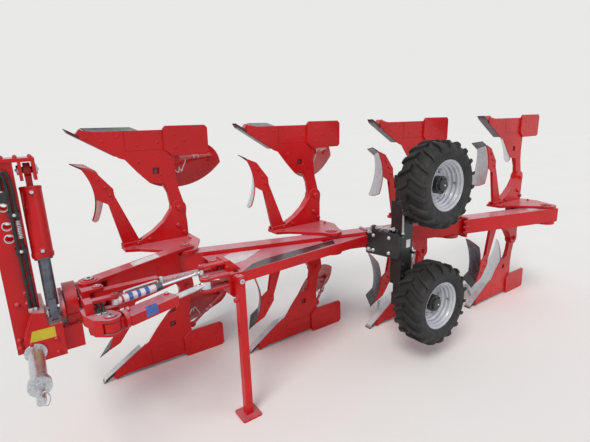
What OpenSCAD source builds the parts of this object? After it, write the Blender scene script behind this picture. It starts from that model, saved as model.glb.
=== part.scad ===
// Four-furrow mounted reversible plough with variable working width.
// Millimetres. The plough stands on its four lower bodies and its parking stand.
// The drawing frame has its origin on the beam centre plane, level with the first lower share tip
// in X and with the first landside in Y. X runs rearwards, Y to the right, Z up.
// on_floor() then moves everything to the frame of the part, whose Z = 0 is the floor.

/* [Layout] */
// Distance between two bodies along the line of travel
body_pitch = 1020; // [920:10:1060]
// Working width of one body at the narrow setting
body_offset = 300; // [290:5:330]
// Height of the beam centre plane over the sole of the lower bodies
under_beam = 890; // [860:5:960]
// Carrier pivot behind the share tip of its body
pivot_back = 580; // [560:5:600]
// Carrier pivot left of the landside of its body
pivot_left = 305; // [290:5:330]

/* [Beam] */
// Outer width and height of the square beam
beam_w = 120; // [110:5:130]
// Wall of the beam and of its rear sleeve
beam_t = 12; // [8:1:16]
// Beam length in front of the first carrier pivot
beam_front = 75; // [70:1:90]
// Outer size of the rear extension sleeve
sleeve_w = 150; // [146:2:160]
// Front end of the rear extension sleeve, behind the first carrier pivot
sleeve_u = 2220; // [2200:5:2300]
// Length of the sleeve behind the last carrier pivot
sleeve_tail = 62; // [50:1:90]
// Height of the brace that runs beside the beam
brace_h = 66; // [50:2:90]
// Width of the brace
brace_w = 105; // [80:5:115]

/* [Carriers] */
// Thickness of the carrier plates above and below the beam
plate_t = 20; // [14:1:22]
// Running gap between the beam, the carrier plates and the link plates
pivot_gap = 4; // [2:0.5:5]
// Diameter of the pivot pins of the carriers and the main link
pivot_pin_d = 50; // [40:1:56]
// Radius of the boss round a carrier pivot
boss_r = 80; // [74:1:90]
// Thickness of the cheek plates that clamp the legs
cheek_t = 16; // [12:1:20]
// Height of the cheeks over the beam centre plane
cheek_h = 362; // [340:2:380]

/* [Bodies] */
// Thickness of the leg, the frog block and the skimmer arm
leg_t = 30; // [24:1:32]
// Thickness of the landside plate
landside_t = 12; // [8:1:14]
// Thickness of the heel plate
heel_t = 14; // [8:1:18]
// Thickness of the moldboards
board_t = 9; // [6:0.5:12]
// Thickness of the shares
share_t = 12; // [8:0.5:14]
// Width of the reversible share point
point_w = 60; // [50:1:70]
// Thickness of the reversible share point
point_t = 24; // [16:1:28]

/* [Wheels] */
// Outer radius of the tyres over the lugs
tyre_r = 305; // [280:1:315]
// Width of the tyres
tyre_w = 230; // [180:2:240]
// Radius of the rims where the bead sits
rim_r = 168; // [150:1:180]
// Height of the wheel centres above and below the beam plane
wheel_z = 437; // [425:1:450]
// Lugs on each side of a tyre
lug_count = 18; // [12:1:22]
// Height of the lugs
lug_h = 22; // [10:1:26]

/* [Headstock] */
// Radius of the lower link pins
link_pin_r = 18.3; // [14:0.1:19]
// Distance between the shoulders of the lower link pins
link_span = 965; // [825:5:1005]
// Radius of the upper link hole
top_pin_r = 16; // [12.5:0.5:16]
// Radius of the turnover shaft
shaft_r = 60; // [45:1:65]
// Highest point of the tower over the turnover axis
tower_h = 665; // [640:5:700]
// Radius of the turnover cylinder barrel
turn_barrel_r = 46; // [38:1:50]
// Crank radius of the turnover
crank_r = 115; // [110:1:120]

/* [Stand] */
// Outer width of the stand tube
stand_w = 46; // [40:2:56]
// Size of the foot plate
foot_w = 130; // [90:5:150]

/* [Hidden] */
$fn = 64;
sole = -under_beam;
red = "#c8141c";
dark = "#26272b";
steel = "#9aa0a6";
chrome = "#d8dade";
rim_grey = "#c9ccd0";

// Beam line
beam_angle = atan(body_offset / body_pitch);
beam_step = sqrt(body_pitch * body_pitch + body_offset * body_offset);
pivot_1 = [pivot_back, -pivot_left];
last_pivot_u = 3 * beam_step;
beam_end = last_pivot_u + sleeve_tail;

// Levels of the plates above the beam
carrier_z = beam_w / 2 + pivot_gap;
link_z = carrier_z + plate_t + pivot_gap;
link_plate_t = 18;
weld_gap = 0.2;
pin_top = link_z + link_plate_t + 10;

// Headstock and linkage points in plan
axis_y = -530;
link_front = [-50, -590];
link_r = 55;
link_web_w = 90;
offset_front = [-30, -700];
offset_rear = [600, -715];
offset_z = 52;
offset_half = 28;
width_front = [-25, -985];
width_rear = [512, -800];
width_z = 4;
eye_half = 22;
width_eye_r = 20.5;
memory_half = 15;
memory_eye_r = 8.5;
offset_eye_r = 15.5;
width_rod_r = 16;
width_jacket = [268, 100, 50];
memory_front = [20, -880];
memory_rear = [500, -770];
memory_z = 70;
memory_r = 20;
memory_rod_r = 8;
lug_gap = 5;
lug_t = 14;
pin_head_h = 6;
pin_fit = 0.5;
// Play of the rear pins, where the linkage is open and its eyes may drift
width_play = 3.5;
memory_play = 3.3;
offset_play = 1;

// Place of the front end of the brace and of the stand
brace_front = [690, -780];
brace_rear_u = 1.12 * beam_step;
stand_at = [685, -877];
stand_hinge_z = 8;
stand_pin_d = 26;
foot_t = 12;

// Wheel places
mast_at = [1975, -960];
mast_x = 120;
mast_y = 100;
mast_h = 315;
slide_w = 76;
wheel_x = 2090;
wheel_y = -1150;
hub_r = 62;
hub_half = 45;

// Headstock places
tower_x0 = -410;
tower_x1 = -285;
axle_x = -335;
axle_z = -170;
axle_r = 34;
top_hole_x = -350;
top_hole_z = 450;
pin_len = 120;
crank_x = -196;
crank_t = 16;
housing_x0 = crank_x + crank_t + 6;
housing_x1 = -116;
housing_r = 98;
hub_x = -110;
hub_t = 34;
cyl_x = -230;
cyl_top_z = 700;
cyl_eye_half = 15;
turn_pin_r = 16;
tower_cheek = 45;
tower_t = 22;
turn_rod_r = 27.5;
turn_tilt = atan(crank_r / cyl_top_z);
turn_len = sqrt(crank_r * crank_r + cyl_top_z * cyl_top_z);

// Curves and surfaces

function bez2(a, b, c, t) = (1 - t) * (1 - t) * a + 2 * t * (1 - t) * b + t * t * c;
function bez3(p, t) =
    pow(1 - t, 3) * p[0] + 3 * t * pow(1 - t, 2) * p[1] + 3 * t * t * (1 - t) * p[2] + pow(t, 3) * p[3];
function arc(cx, cy, r, a0, a1, n = 8) =
    [for (i = [0:n]) let (a = a0 + (a1 - a0) * i / n) [cx + r * cos(a), cy + r * sin(a)]];

// Soil-working surfaces. Each point is x behind the share tip, y right of the landside, h over the sole.

// Lower edge, belly and upper edge of the moldboard, from the shin to the tail
side_y = landside_t + 0.5;
board_low = [[200, side_y, 90], [300, 150, 60], [560, 400, 30], [1105, 440, 160]];
board_mid = [[345, side_y, 190], [600, 150, 130], [900, 360, 160], [1200, 460, 215]];
board_top = [[478, side_y, 385], [640, 110, 480], [970, 350, 505], [1215, 470, 322]];
function board_at(s, t) = bez2(bez3(board_low, s), bez3(board_mid, s), bez3(board_top, s), t);

// Skimmer moldboard, with h over the beam plane of an upper skimmer
skim_low = [[62, side_y, 640], [95, 60, 632], [130, 110, 620], [165, 155, 600]];
skim_mid = [[165, side_y, 470], [185, 60, 470], [205, 120, 465], [230, 170, 455]];
skim_top = [[84, side_y, 300], [95, 80, 270], [115, 140, 255], [140, 190, 262]];
function skim_at(s, t) = bez2(bez3(skim_low, s), bez3(skim_mid, s), bez3(skim_top, s), t);

function unit(v) = v / norm(v);
step = 0.01;
// Normals that point to the back of the two surfaces, kept level at the landside edge
function level(n, s) = s == 0 ? unit([n[0], 0, n[2]]) : n;
function board_normal(s, t) = level(unit(cross(
    board_at(s + step, t) - board_at(s - step, t), board_at(s, t + step) - board_at(s, t - step))), s);
function skim_normal(s, t) = level(unit(cross(
    skim_at(s, t + step) - skim_at(s, t - step), skim_at(s + step, t) - skim_at(s - step, t))), s);

board_rows = 14;
board_cols = 8;
board_front = [for (i = [0:board_rows]) [for (j = [0:board_cols]) board_at(i / board_rows, j / board_cols)]];
board_back = [for (i = [0:board_rows]) [for (j = [0:board_cols])
    board_front[i][j] + board_t * board_normal(i / board_rows, j / board_cols)]];
board_points = concat([for (row = board_front) each row], [for (row = board_back) each row]);

skim_rows = 5;
skim_cols = 8;
skim_t = 8;

module skim_sheet() {
    front = [for (i = [0:skim_rows]) [for (j = [0:skim_cols]) skim_at(i / skim_rows, j / skim_cols)]];
    back = [for (i = [0:skim_rows]) [for (j = [0:skim_cols])
        front[i][j] + skim_t * skim_normal(i / skim_rows, j / skim_cols)]];
    sheet(back, front);
}

// Box of the whole part, from which its frame is placed
tail_x = max([for (p = board_points) p[0]]);
wing_y = max([for (p = board_points) p[1]]);
reach_x0 = tower_x0;
reach_x1 = 3 * body_pitch + tail_x;
reach_y0 = -pivot_left - beam_end * sin(beam_angle) - sleeve_w / 2 * cos(beam_angle);
reach_y1 = wing_y;
mid_x = (reach_x0 + reach_x1) / 2;
mid_y = (reach_y0 + reach_y1) / 2;

// Placing

// The frame of the part: floor at Z = 0, origin under the middle of its box
module on_floor() {
    translate([-mid_x, -mid_y, under_beam]) children();
}

// U runs along the beam from the first carrier pivot
module along_beam(u = 0) {
    translate([pivot_1[0], pivot_1[1], 0]) rotate([0, 0, -beam_angle]) translate([u, 0, 0]) children();
}

// The share tip and landside of body i, counted from 1
module at_body(i) {
    translate([(i - 1) * body_pitch, -(i - 1) * body_offset, 0]) children();
}

// A lower piece drawn over the sole, and its mirror image for the other furrow side
module both_bodies() {
    translate([0, 0, sole]) children();
    mirror([0, 0, 1]) translate([0, 0, sole]) children();
}

module both_sides() {
    children();
    mirror([0, 0, 1]) children();
}

// A profile of X and Z pushed sideways from y0 to y1
module side_profile(points, y0, y1) {
    translate([0, y1, 0]) rotate([90, 0, 0]) linear_extrude(y1 - y0) polygon(points);
}

// A straight run between two points in plan, along its own X
module between(a, b, z = 0) {
    translate([a[0], a[1], z]) rotate([0, 0, atan2(b[1] - a[1], b[0] - a[0])]) children();
}
function span(a, b) = norm(b - a);

// Upright cylinder with a bore
module eye(r, h, bore_r) {
    difference() {
        cylinder(r = r, h = h, center = true);
        cylinder(r = bore_r, h = h + 2, center = true);
    }
}

// Closed sheet between a grid of front points and the same points pushed back along their normals
module sheet(front, back) {
    rows = len(front);
    cols = len(front[0]);
    count = rows * cols;
    points = concat([for (row = front) each row], [for (row = back) each row]);
    function id(i, j) = i * cols + j;
    faces = concat(
        [for (i = [0:rows - 2], j = [0:cols - 2]) [id(i, j), id(i + 1, j), id(i + 1, j + 1)]],
        [for (i = [0:rows - 2], j = [0:cols - 2]) [id(i, j), id(i + 1, j + 1), id(i, j + 1)]],
        [for (i = [0:rows - 2], j = [0:cols - 2]) [count + id(i, j), count + id(i + 1, j + 1), count + id(i + 1, j)]],
        [for (i = [0:rows - 2], j = [0:cols - 2]) [count + id(i, j), count + id(i, j + 1), count + id(i + 1, j + 1)]],
        [for (i = [0:rows - 2]) [id(i, 0), count + id(i, 0), count + id(i + 1, 0)]],
        [for (i = [0:rows - 2]) [id(i, 0), count + id(i + 1, 0), id(i + 1, 0)]],
        [for (i = [0:rows - 2]) [id(i, cols - 1), id(i + 1, cols - 1), count + id(i + 1, cols - 1)]],
        [for (i = [0:rows - 2]) [id(i, cols - 1), count + id(i + 1, cols - 1), count + id(i, cols - 1)]],
        [for (j = [0:cols - 2]) [id(0, j), id(0, j + 1), count + id(0, j + 1)]],
        [for (j = [0:cols - 2]) [id(0, j), count + id(0, j + 1), count + id(0, j)]],
        [for (j = [0:cols - 2]) [id(rows - 1, j), count + id(rows - 1, j), count + id(rows - 1, j + 1)]],
        [for (j = [0:cols - 2]) [id(rows - 1, j), count + id(rows - 1, j + 1), id(rows - 1, j + 1)]]
    );
    polyhedron(points = points, faces = faces, convexity = 6);
}

// Bodies

cheek_y0 = landside_t - cheek_t - 6;
leg_y0 = cheek_y0 + cheek_t;
leg_y1 = leg_y0 + leg_t;
leg_x0 = 604;
leg_x1 = 716;
cheek_r = 55;
cheek_front = [[603, 300], [541, 222], [463, 162], [368, 114], [246, 108]];
cheek_rear = [[700, -10], [706, 248], [713, 300]];
cheek_profile = concat(
    cheek_rear, arc(658, cheek_h - cheek_r, cheek_r, 0, 180, 10), cheek_front,
    [[246, carrier_z], [560, carrier_z], [560, -10]]
);
// Web that closes the front of the channel between the cheeks, down to the skimmer arm
channel_t = 10;
channel_front = [[594, 294], cheek_front[1], cheek_front[2], [382, 120]];
channel_profile = concat(channel_front, [for (i = [3:-1:0]) channel_front[i] + [channel_t * 0.7, -channel_t]]);
plate_rear = 742;
plate_right = 70;

// Plate over the beam: round boss at the pivot, wide foot under the cheeks
module carrier_plate() {
    difference() {
        union() {
            translate([pivot_back, -pivot_left]) circle(r = boss_r);
            polygon([
                [pivot_back - boss_r, -pivot_left], [pivot_back + boss_r, -pivot_left], [plate_rear, -150],
                [plate_rear, plate_right], [250, plate_right], [246, -60], [330, -110]
            ]);
        }
        translate([pivot_back, -pivot_left]) circle(d = pivot_pin_d + 1);
    }
}

// Upright web between the upper and the lower carrier plate
module carrier_web(x, y0, y1) {
    translate([x, y0, -carrier_z - 1]) cube([cheek_t, y1 - y0, 2 * carrier_z + 2]);
}

module carrier(i) {
    on_floor() at_body(i) color(red) {
        both_sides() {
            translate([0, 0, carrier_z]) linear_extrude(plate_t) carrier_plate();
            side_profile(cheek_profile, cheek_y0, leg_y0);
            side_profile(cheek_profile, leg_y1, leg_y1 + cheek_t);
            side_profile(channel_profile, leg_y0 - 1, leg_y1 + 1);
        }
        carrier_web(pivot_back + 40, 135 - pivot_left, leg_y0 + 1);
        carrier_web(pivot_back - 18, leg_y0 - 1, leg_y1 + 1);
        carrier_web(pivot_back + 100, 135 - pivot_left, leg_y1 + 1);
    }
}

// The share point is a bar that rises along one line from the tip
point_end = [290, 166];
point_tip = 18;
point_rise = point_end[1] / point_end[0];
point_top = [point_end[0] - 14, point_end[1] + point_t];
point_top_rise = (point_top[1] - point_tip * point_rise - point_t * 0.8) / (point_top[0] - point_tip);
seat_gap = 0.3;

// Side view of the landside plate and leg of a lower body, x behind the tip and h over the sole
leg_top = under_beam - carrier_z - plate_t - 6;
landside_front = 80;
landside_low = 26;
leg_rear = [[leg_x1, leg_top], [leg_x1, 700], [705, 560], [672, 430], [662, 330], [668, 214]];
function point_cover(x) = point_top[1] - (point_top[0] - x) * point_top_rise - 2;
landside_profile = concat(
    [
        [landside_front, 12], [landside_front, point_cover(landside_front)], [300, point_cover(300)], [332, 214],
        [400, 300], [440, 345], [478, 385], [577, 400], [leg_x0, 520], [leg_x0, leg_top]
    ],
    leg_rear, [[650, 120], [640, landside_low], [170, landside_low]]
);
frog_profile = concat(
    [[320, 50], [405, 190], [488, 290], [552, 380], [592, 470], [leg_x0, 560], [leg_x0, leg_top]],
    leg_rear, [[640, 60]]
);
heel_profile = [
    [618, 0], [905, 0], [926, 20], [924, 186], [906, 204], [648, 204], [596, 160], [600, 18]
];
heel_bar = [[600, 60], [800, 60], [800, 140], [640, 180]];
// Seat under the share point, wedged between it and the share blade
seat_profile = [
    [62, 62 * point_rise - seat_gap], [90, 4.5], [201, 92], [278, 155], [282, 282 * point_rise - seat_gap]
];
// Pocket of the shear bolt and seams of the wear plates
pocket_at = [506, 283];
pocket_w = 44;
pocket_depth = 22;
seam_w = 3;
seam_x = 343;
seam_h = 157;

module frogs(i) {
    on_floor() at_body(i) color(red) both_bodies() {
        difference() {
            union() {
                side_profile(landside_profile, leg_y0, landside_t);
                side_profile(frog_profile, landside_t - 1, leg_y1);
            }
            translate([pocket_at[0], leg_y0 - 1, pocket_at[1]]) cube([pocket_w, pocket_depth + 1, pocket_w]);
            translate([seam_x, leg_y0 - 1, landside_low - 1]) cube([seam_w, 3, seam_h - landside_low]);
            translate([seam_x, leg_y0 - 1, seam_h]) cube([592 - seam_x, 3, seam_w]);
        }
        side_profile(heel_profile, leg_y0 - heel_t, leg_y0 + 1);
        side_profile(heel_bar, leg_y0, leg_y1 - 6);
        side_profile(seat_profile, landside_t - 1, point_w);
    }
}

// Round bar from a to b
module rod(a, b, r) {
    d = b - a;
    translate(a) rotate([0, acos(d[2] / norm(d)), atan2(d[1], d[0])]) cylinder(r = r, h = norm(d));
}

// Stay from the back of the moldboard to a pad on the side of the leg
stay_s = 0.9;
stay_t = 0.62;
stay_r = 12;
stay_pad = [692, leg_y1 + seat_gap, 232];

module board_stay() {
    n = board_normal(stay_s, stay_t);
    weld = board_at(stay_s, stay_t) + (board_t - 2) * n;
    rod(weld, weld + 22 * n, 20);
    rod(stay_pad + [0, 10, 0], weld + 14 * n, stay_r);
    translate(stay_pad) rotate([-90, 0, 0]) cylinder(r = 24, h = 16);
}

module moldboards(i) {
    on_floor() at_body(i) color(red) both_bodies() {
        sheet(board_front, board_back);
        board_stay();
    }
}

// The blade follows the lower edge of the moldboard from the landside to the wing
blade_rows = 8;
blade_reach = 0.62;
blade_low = [[92, side_y, 3], [470, 372, 3]];
blade_seam = 1.2;

module share_blade() {
    front = [for (i = [0:blade_rows]) let (
        k = i / blade_rows,
        low = blade_low[0] + k * (blade_low[1] - blade_low[0]),
        edge = board_at(k * blade_reach, 0)
    ) [low, edge + blade_seam * unit(low - edge)]];
    back = [for (row = front) [row[0] - [0, 0, row[0][2]], row[1] - [0, 0, share_t]]];
    sheet(front, back);
}

module share_point() {
    side_profile([
        [0, 0], point_end, point_top, [point_tip, point_tip * point_rise + point_t * 0.8]
    ], landside_t + seat_gap, landside_t + point_w);
}

module shares(i) {
    on_floor() at_body(i) color(steel) both_bodies() {
        share_blade();
        share_point();
    }
}

// Skimmer: the arm stands between the cheeks, its plate follows the edge of the little moldboard
skim_base = carrier_z + plate_t + 6;
skim_stem = [
    [256, skim_base], [360, skim_base], [360, 124], [239, 444], [175, 470], [195, 390], [240, 160]
];
skim_plate = concat(
    [for (t = [0:0.1:0.65]) let (p = skim_at(0, t)) [p[0] + 1, p[2]]],
    [[195, 390], [226, 230], [300, 230], [239, 444], [236, 493], [145, 610], [74, 640]]
);
skim_tip = [[3, side_y, 673], [105, 172, 650]];

module skim_share() {
    front = [for (i = [0:skim_rows]) let (k = i / skim_rows) [
        skim_tip[0] + k * (skim_tip[1] - skim_tip[0]), skim_at(k, 0) + [0, 0, 1]
    ]];
    back = [for (row = front) [row[0] + [0, 0, 3], row[1] + [0, 0, skim_t]]];
    sheet(back, front);
}

module skimmers(i) {
    on_floor() at_body(i) color(red) both_sides() {
        side_profile(skim_plate, leg_y0, landside_t + 1);
        side_profile(skim_stem, leg_y0 + 0.5, leg_y1 - 6);
        skim_sheet();
        skim_share();
    }
}

// Beam

// Square tube along the beam from u0 to u1
module beam_tube(u0, u1, w, t) {
    along_beam() difference() {
        translate([u0, -w / 2, -w / 2]) cube([u1 - u0, w, w]);
        translate([u0 - 1, -w / 2 + t, -w / 2 + t]) cube([u1 - u0 + 2, w - 2 * t, w - 2 * t]);
    }
}

module main_beam() {
    on_floor() color(red) {
        difference() {
            union() {
                beam_tube(-beam_front, sleeve_u, beam_w, beam_t);
                along_beam() for (i = [0:2]) translate([i * beam_step, 0, 0])
                    cylinder(d = pivot_pin_d + 30, h = beam_w, center = true);
            }
            along_beam() for (i = [0:2]) translate([i * beam_step, 0, 0])
                cylinder(d = pivot_pin_d + 1, h = beam_w + 2, center = true);
        }
        along_beam() for (i = [0:2]) translate([i * beam_step, 0, 0])
            cylinder(d = pivot_pin_d, h = 2 * (i == 0 ? pin_top : carrier_z + plate_t + 10), center = true);
    }
}

// Bolted flange on the left half of the joint between the beam and the sleeve
flange_t = 20;
flange_rim = 22;

module beam_sleeve() {
    on_floor() color(red) {
        difference() {
            union() {
                along_beam() difference() {
                    translate([sleeve_u + weld_gap, -sleeve_w / 2, -beam_w / 2])
                        cube([beam_end - sleeve_u - weld_gap, sleeve_w, beam_w]);
                    translate([sleeve_u, -sleeve_w / 2 + beam_t, -beam_w / 2 + beam_t])
                        cube([beam_end - sleeve_u + 1, sleeve_w - 2 * beam_t, beam_w - 2 * beam_t]);
                }
                along_beam(sleeve_u + weld_gap) translate([0, -sleeve_w / 2 - flange_rim, -beam_w / 2 - flange_rim])
                    difference() {
                        cube([flange_t, sleeve_w / 2 + flange_rim, beam_w + 2 * flange_rim]);
                        translate([-1, flange_rim + beam_t, flange_rim + beam_t])
                            cube([flange_t + 2, sleeve_w, beam_w - 2 * beam_t]);
                    }
                along_beam(last_pivot_u) cylinder(d = pivot_pin_d + 30, h = beam_w, center = true);
            }
            along_beam(last_pivot_u) cylinder(d = pivot_pin_d + 1, h = beam_w + 2, center = true);
        }
        along_beam(last_pivot_u) cylinder(d = pivot_pin_d, h = 2 * (carrier_z + plate_t + 10), center = true);
    }
}

// Left face of the beam at x, in plan
function beam_left(x) = -pivot_left - (x - pivot_back) * tan(beam_angle) - (beam_w / 2 + weld_gap) / cos(beam_angle);

beam_edge = [pivot_back, beam_left(pivot_back)];
beam_dir = [cos(beam_angle), -sin(beam_angle)];
function cross2(a, b) = a[0] * b[1] - a[1] * b[0];
// Where the line from p along d meets the line from q along e
function meet(p, d, q, e) = p + d * cross2(q - p, e) / cross2(d, e);

// The brace in plan: a straight bar whose rear end is bevelled against the beam
brace_rear = [beam_edge[0], beam_edge[1]] + brace_rear_u * beam_dir;
brace_dir = unit(brace_rear - brace_front);
brace_side = [-brace_dir[1], brace_dir[0]] * brace_w / 2;
brace_nose = brace_front - 40 * brace_dir;
brace_plan = [
    brace_nose - brace_side, meet(brace_front - brace_side, brace_dir, beam_edge, beam_dir),
    meet(brace_front + brace_side, brace_dir, beam_edge, beam_dir), brace_nose + brace_side
];
// The plate that closes the corner between the brace and the beam, sunk a little into the brace
web_x0 = 655;
web_x1 = 1480;
web_in = brace_side * 0.9;
web_t = 12;
web_plan = [
    [web_x0, beam_left(web_x0)], meet(brace_front + web_in, brace_dir, [web_x0, 0], [0, 1]),
    meet(brace_front + web_in, brace_dir, [web_x1, 0], [0, 1]), [web_x1, beam_left(web_x1)]
];

// Nose of the brace: a block with a sloped bracket above for the upper forks and one below for the stand
nose_x0 = 640;
nose_x1 = 735;
nose_y0 = -836;
nose_y1 = -670;
nose_mid_h = brace_h / 2 + 4;
nose_h = 107;
nose_upper = [
    [nose_x0, 0], [nose_x0, nose_h], [nose_x0 + 32, nose_h], [nose_x1, nose_mid_h + 8], [nose_x1, 0]
];
nose_lower = [
    [nose_x0, 0], [nose_x1, 0], [nose_x1, 24 - nose_h], [nose_x1 - 24, -nose_h], [nose_x0 + 20, -nose_h],
    [nose_x0, 20 - nose_h]
];

module front_brace() {
    on_floor() color(red) {
        translate([0, 0, -brace_h / 2]) linear_extrude(brace_h) polygon(brace_plan);
        both_sides() translate([0, 0, brace_h / 2 - web_t - 2]) linear_extrude(web_t) polygon(web_plan);
        translate([nose_x0 + 0.5, nose_y0 + 0.5, -nose_mid_h])
            cube([nose_x1 - nose_x0 - 1, nose_y1 - nose_y0 - 1, 2 * nose_mid_h]);
        side_profile(nose_upper, memory_rear[1] - 22, nose_y1);
        side_profile(nose_lower, nose_y0, -745);
        translate([stand_at[0], nose_y0 + 1, stand_hinge_z]) rotate([90, 0, 0])
            cylinder(d = stand_pin_d + 20, h = nose_y0 + 1 - stand_at[1] - stand_w / 2 - 2);
        translate([stand_at[0], stand_at[1] - stand_w / 2 - 6, stand_hinge_z]) rotate([-90, 0, 0])
            cylinder(d = stand_pin_d, h = nose_y0 - stand_at[1] + stand_w / 2 + 7);
        translate([stand_at[0], stand_at[1] - stand_w / 2 - 2, stand_hinge_z]) rotate([90, 0, 0])
            cylinder(d = stand_pin_d + 18, h = 8);
        fork(offset_rear, offset_z, offset_half, 30, nose_x0 + 5, offset_eye_r - offset_play);
        fork(width_rear, width_z, eye_half, rod_eye_outer + 3, nose_x0 + 5, width_eye_r - width_play);
        fork(memory_rear, memory_z, memory_half, 18, nose_x0 + 5, memory_eye_r - memory_play);
    }
}

// Tie bar beside the beam: with the carriers it makes a parallelogram, so the bodies stay parallel
tie_v = 102;
tie_w = 36;
tie_pin_d = 24;

module tie_bar() {
    on_floor() color(red) along_beam() translate([0, tie_v, 0]) {
        translate([0, -tie_w / 2, -10]) cube([last_pivot_u, tie_w, 20]);
        for (i = [0:3]) translate([i * beam_step, 0, 0]) cylinder(d = tie_w, h = 20, center = true);
        for (i = [0:3]) translate([i * beam_step, 0, 0])
            cylinder(d = tie_pin_d, h = 2 * carrier_z - 1, center = true);
    }
}

// Stand

stand_top = stand_hinge_z + stand_w / 2;

module stand() {
    on_floor() color(red) translate([stand_at[0], stand_at[1], 0]) {
        difference() {
            translate([-stand_w / 2, -stand_w / 2, sole + foot_t])
                cube([stand_w, stand_w, stand_top - sole - foot_t]);
            translate([0, 0, stand_hinge_z]) rotate([90, 0, 0])
                cylinder(d = stand_pin_d + 1, h = stand_w + 2, center = true);
        }
        translate([0, 0, sole]) linear_extrude(foot_t) offset(r = 12) square(foot_w - 24, center = true);
    }
}

// Width linkage

// Dog-bone plate outline between two eyes, along the local X
module bone(len, r, w) {
    circle(r = r);
    translate([len, 0]) circle(r = r);
    translate([0, -w / 2]) square([len, w]);
}

// The two side webs of the link start and end clear of the hub and of the beam
link_web_front = 75;
link_web_rear = 108;

module main_link() {
    len = span(link_front, pivot_1);
    on_floor() color(red) between(link_front, pivot_1) {
        both_sides() translate([0, 0, link_z]) difference() {
            linear_extrude(link_plate_t) bone(len, link_r, link_web_w);
            translate([0, 0, -1]) cylinder(d = pivot_pin_d + 1, h = link_plate_t + 2);
            translate([len, 0, -1]) cylinder(d = pivot_pin_d + 1, h = link_plate_t + 2);
        }
        for (y = [-link_web_w / 2, link_web_w / 2 - link_plate_t]) translate([link_web_front, y, -link_z - 1])
            cube([len - link_web_front - link_web_rear, link_plate_t, 2 * link_z + 2]);
        both_sides() translate([link_web_front + 25, -link_web_w / 2, 40])
            cube([len - link_web_front - link_web_rear - 57, link_web_w, link_plate_t]);
    }
}

// Slotted arm with the adjusting screw at its rear
offset_end_r = 28;
offset_arm_w = 48;
offset_screw_r = 17;

module offset_link() {
    len = span(offset_front, offset_rear);
    on_floor() color(red) between(offset_front, offset_rear, offset_z) difference() {
        union() {
            for (x = [0, len]) translate([x, 0, 0]) cylinder(r = offset_end_r, h = 2 * offset_half, center = true);
            translate([0, -offset_arm_w / 2, -offset_half]) cube([len * 0.48, offset_arm_w, 2 * offset_half]);
            translate([len * 0.4, 0, 0]) rotate([0, 90, 0]) cylinder(r = offset_screw_r, h = len * 0.6 - 10);
        }
        translate([len, 0, 0]) cylinder(r = offset_eye_r, h = 80, center = true);
        cylinder(r = offset_eye_r, h = 80, center = true);
        translate([70, -offset_arm_w, -12]) cube([len * 0.3, 2 * offset_arm_w, 24]);
    }
}

eye_r = 42;
rod_eye_outer = 34;
jacket_x = 72;

module width_barrel() {
    on_floor() color(red) between(width_front, width_rear, width_z) difference() {
        union() {
            cylinder(r = eye_r, h = 2 * eye_half, center = true);
            translate([0, -26, -eye_half]) cube([60, 52, 2 * eye_half]);
            translate([52, 0, 0]) rotate([0, 90, 0]) cylinder(r = yoke_lug_r, h = jacket_x - 51);
            translate([jacket_x, -width_jacket[1] / 2, -width_jacket[2] / 2]) cube(width_jacket);
        }
        cylinder(r = width_eye_r, h = 60, center = true);
        translate([100, 0, 0]) rotate([0, 90, 0]) cylinder(r = width_rod_r + pin_fit, h = width_jacket[0]);
    }
}

module width_rod() {
    len = span(width_front, width_rear);
    on_floor() color(chrome) between(width_front, width_rear, width_z) {
        translate([190, 0, 0]) rotate([0, 90, 0]) cylinder(r = width_rod_r, h = len - 190 - width_eye_r - 4);
        translate([len, 0, 0]) eye(rod_eye_outer, 2 * eye_half, width_eye_r);
    }
}

module memory_barrel() {
    on_floor() color("#d9dde6") between(memory_front, memory_rear, memory_z) difference() {
        union() {
            cylinder(r = 16, h = 2 * memory_half, center = true);
            translate([10, 0, 0]) rotate([0, 90, 0]) cylinder(r = memory_r, h = 230);
        }
        cylinder(r = memory_eye_r, h = 60, center = true);
        translate([60, 0, 0]) rotate([0, 90, 0]) cylinder(r = memory_rod_r + pin_fit, h = 240);
    }
}

module memory_rod() {
    len = span(memory_front, memory_rear);
    on_floor() color(chrome) between(memory_front, memory_rear, memory_z) {
        translate([150, 0, 0]) rotate([0, 90, 0]) cylinder(r = memory_rod_r, h = len - 150 - 10);
        translate([len, 0, 0]) eye(16, 2 * memory_half, memory_eye_r);
    }
}

// Fork of two lugs above and below an eye, with the pin that runs through both
module fork(at, z, half, r, back_x, pin_r) {
    translate([at[0], at[1], z]) {
        cylinder(r = pin_r, h = 2 * (half + lug_gap + lug_t + pin_head_h), center = true);
        both_sides() translate([0, 0, half + lug_gap]) {
            cylinder(r = r, h = lug_t);
            translate([min(0, back_x - at[0]), -r, 0]) cube([abs(back_x - at[0]), 2 * r, lug_t]);
            translate([0, 0, lug_t]) cylinder(r = pin_r + 8, h = pin_head_h);
        }
    }
}

// Turnover

module crank_plate() {
    circle(r = 76);
    polygon([[0, -70], [0, 70], [-crank_r, 40], [-crank_r, -40]]);
    translate([-crank_r, 0]) circle(r = 42);
}

// The yoke in plan: it spreads the linkage sideways and ends in the lugs of the width cylinder.
// Beside the headstock it stays behind the housing, and it widens only farther out.
yoke_top = 47;
yoke_bottom = -8;
yoke_lug_bottom = -35;
yoke_lug_r = 46;
yoke_plan = concat(
    [[hub_x + 6, -440], [hub_x + 2, -806], [-132, -832], [-128, -894], [-98, -985]],
    arc(width_front[0], width_front[1], yoke_lug_r, 230, 405, 10),
    [[-5, -925], [-45, -880], [-70, -830], [-74, -740], [-70, -640], [-60, -440]]
);
eye_sweep = 48;
hub_disc_r = link_z - pivot_gap - 2;

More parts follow.
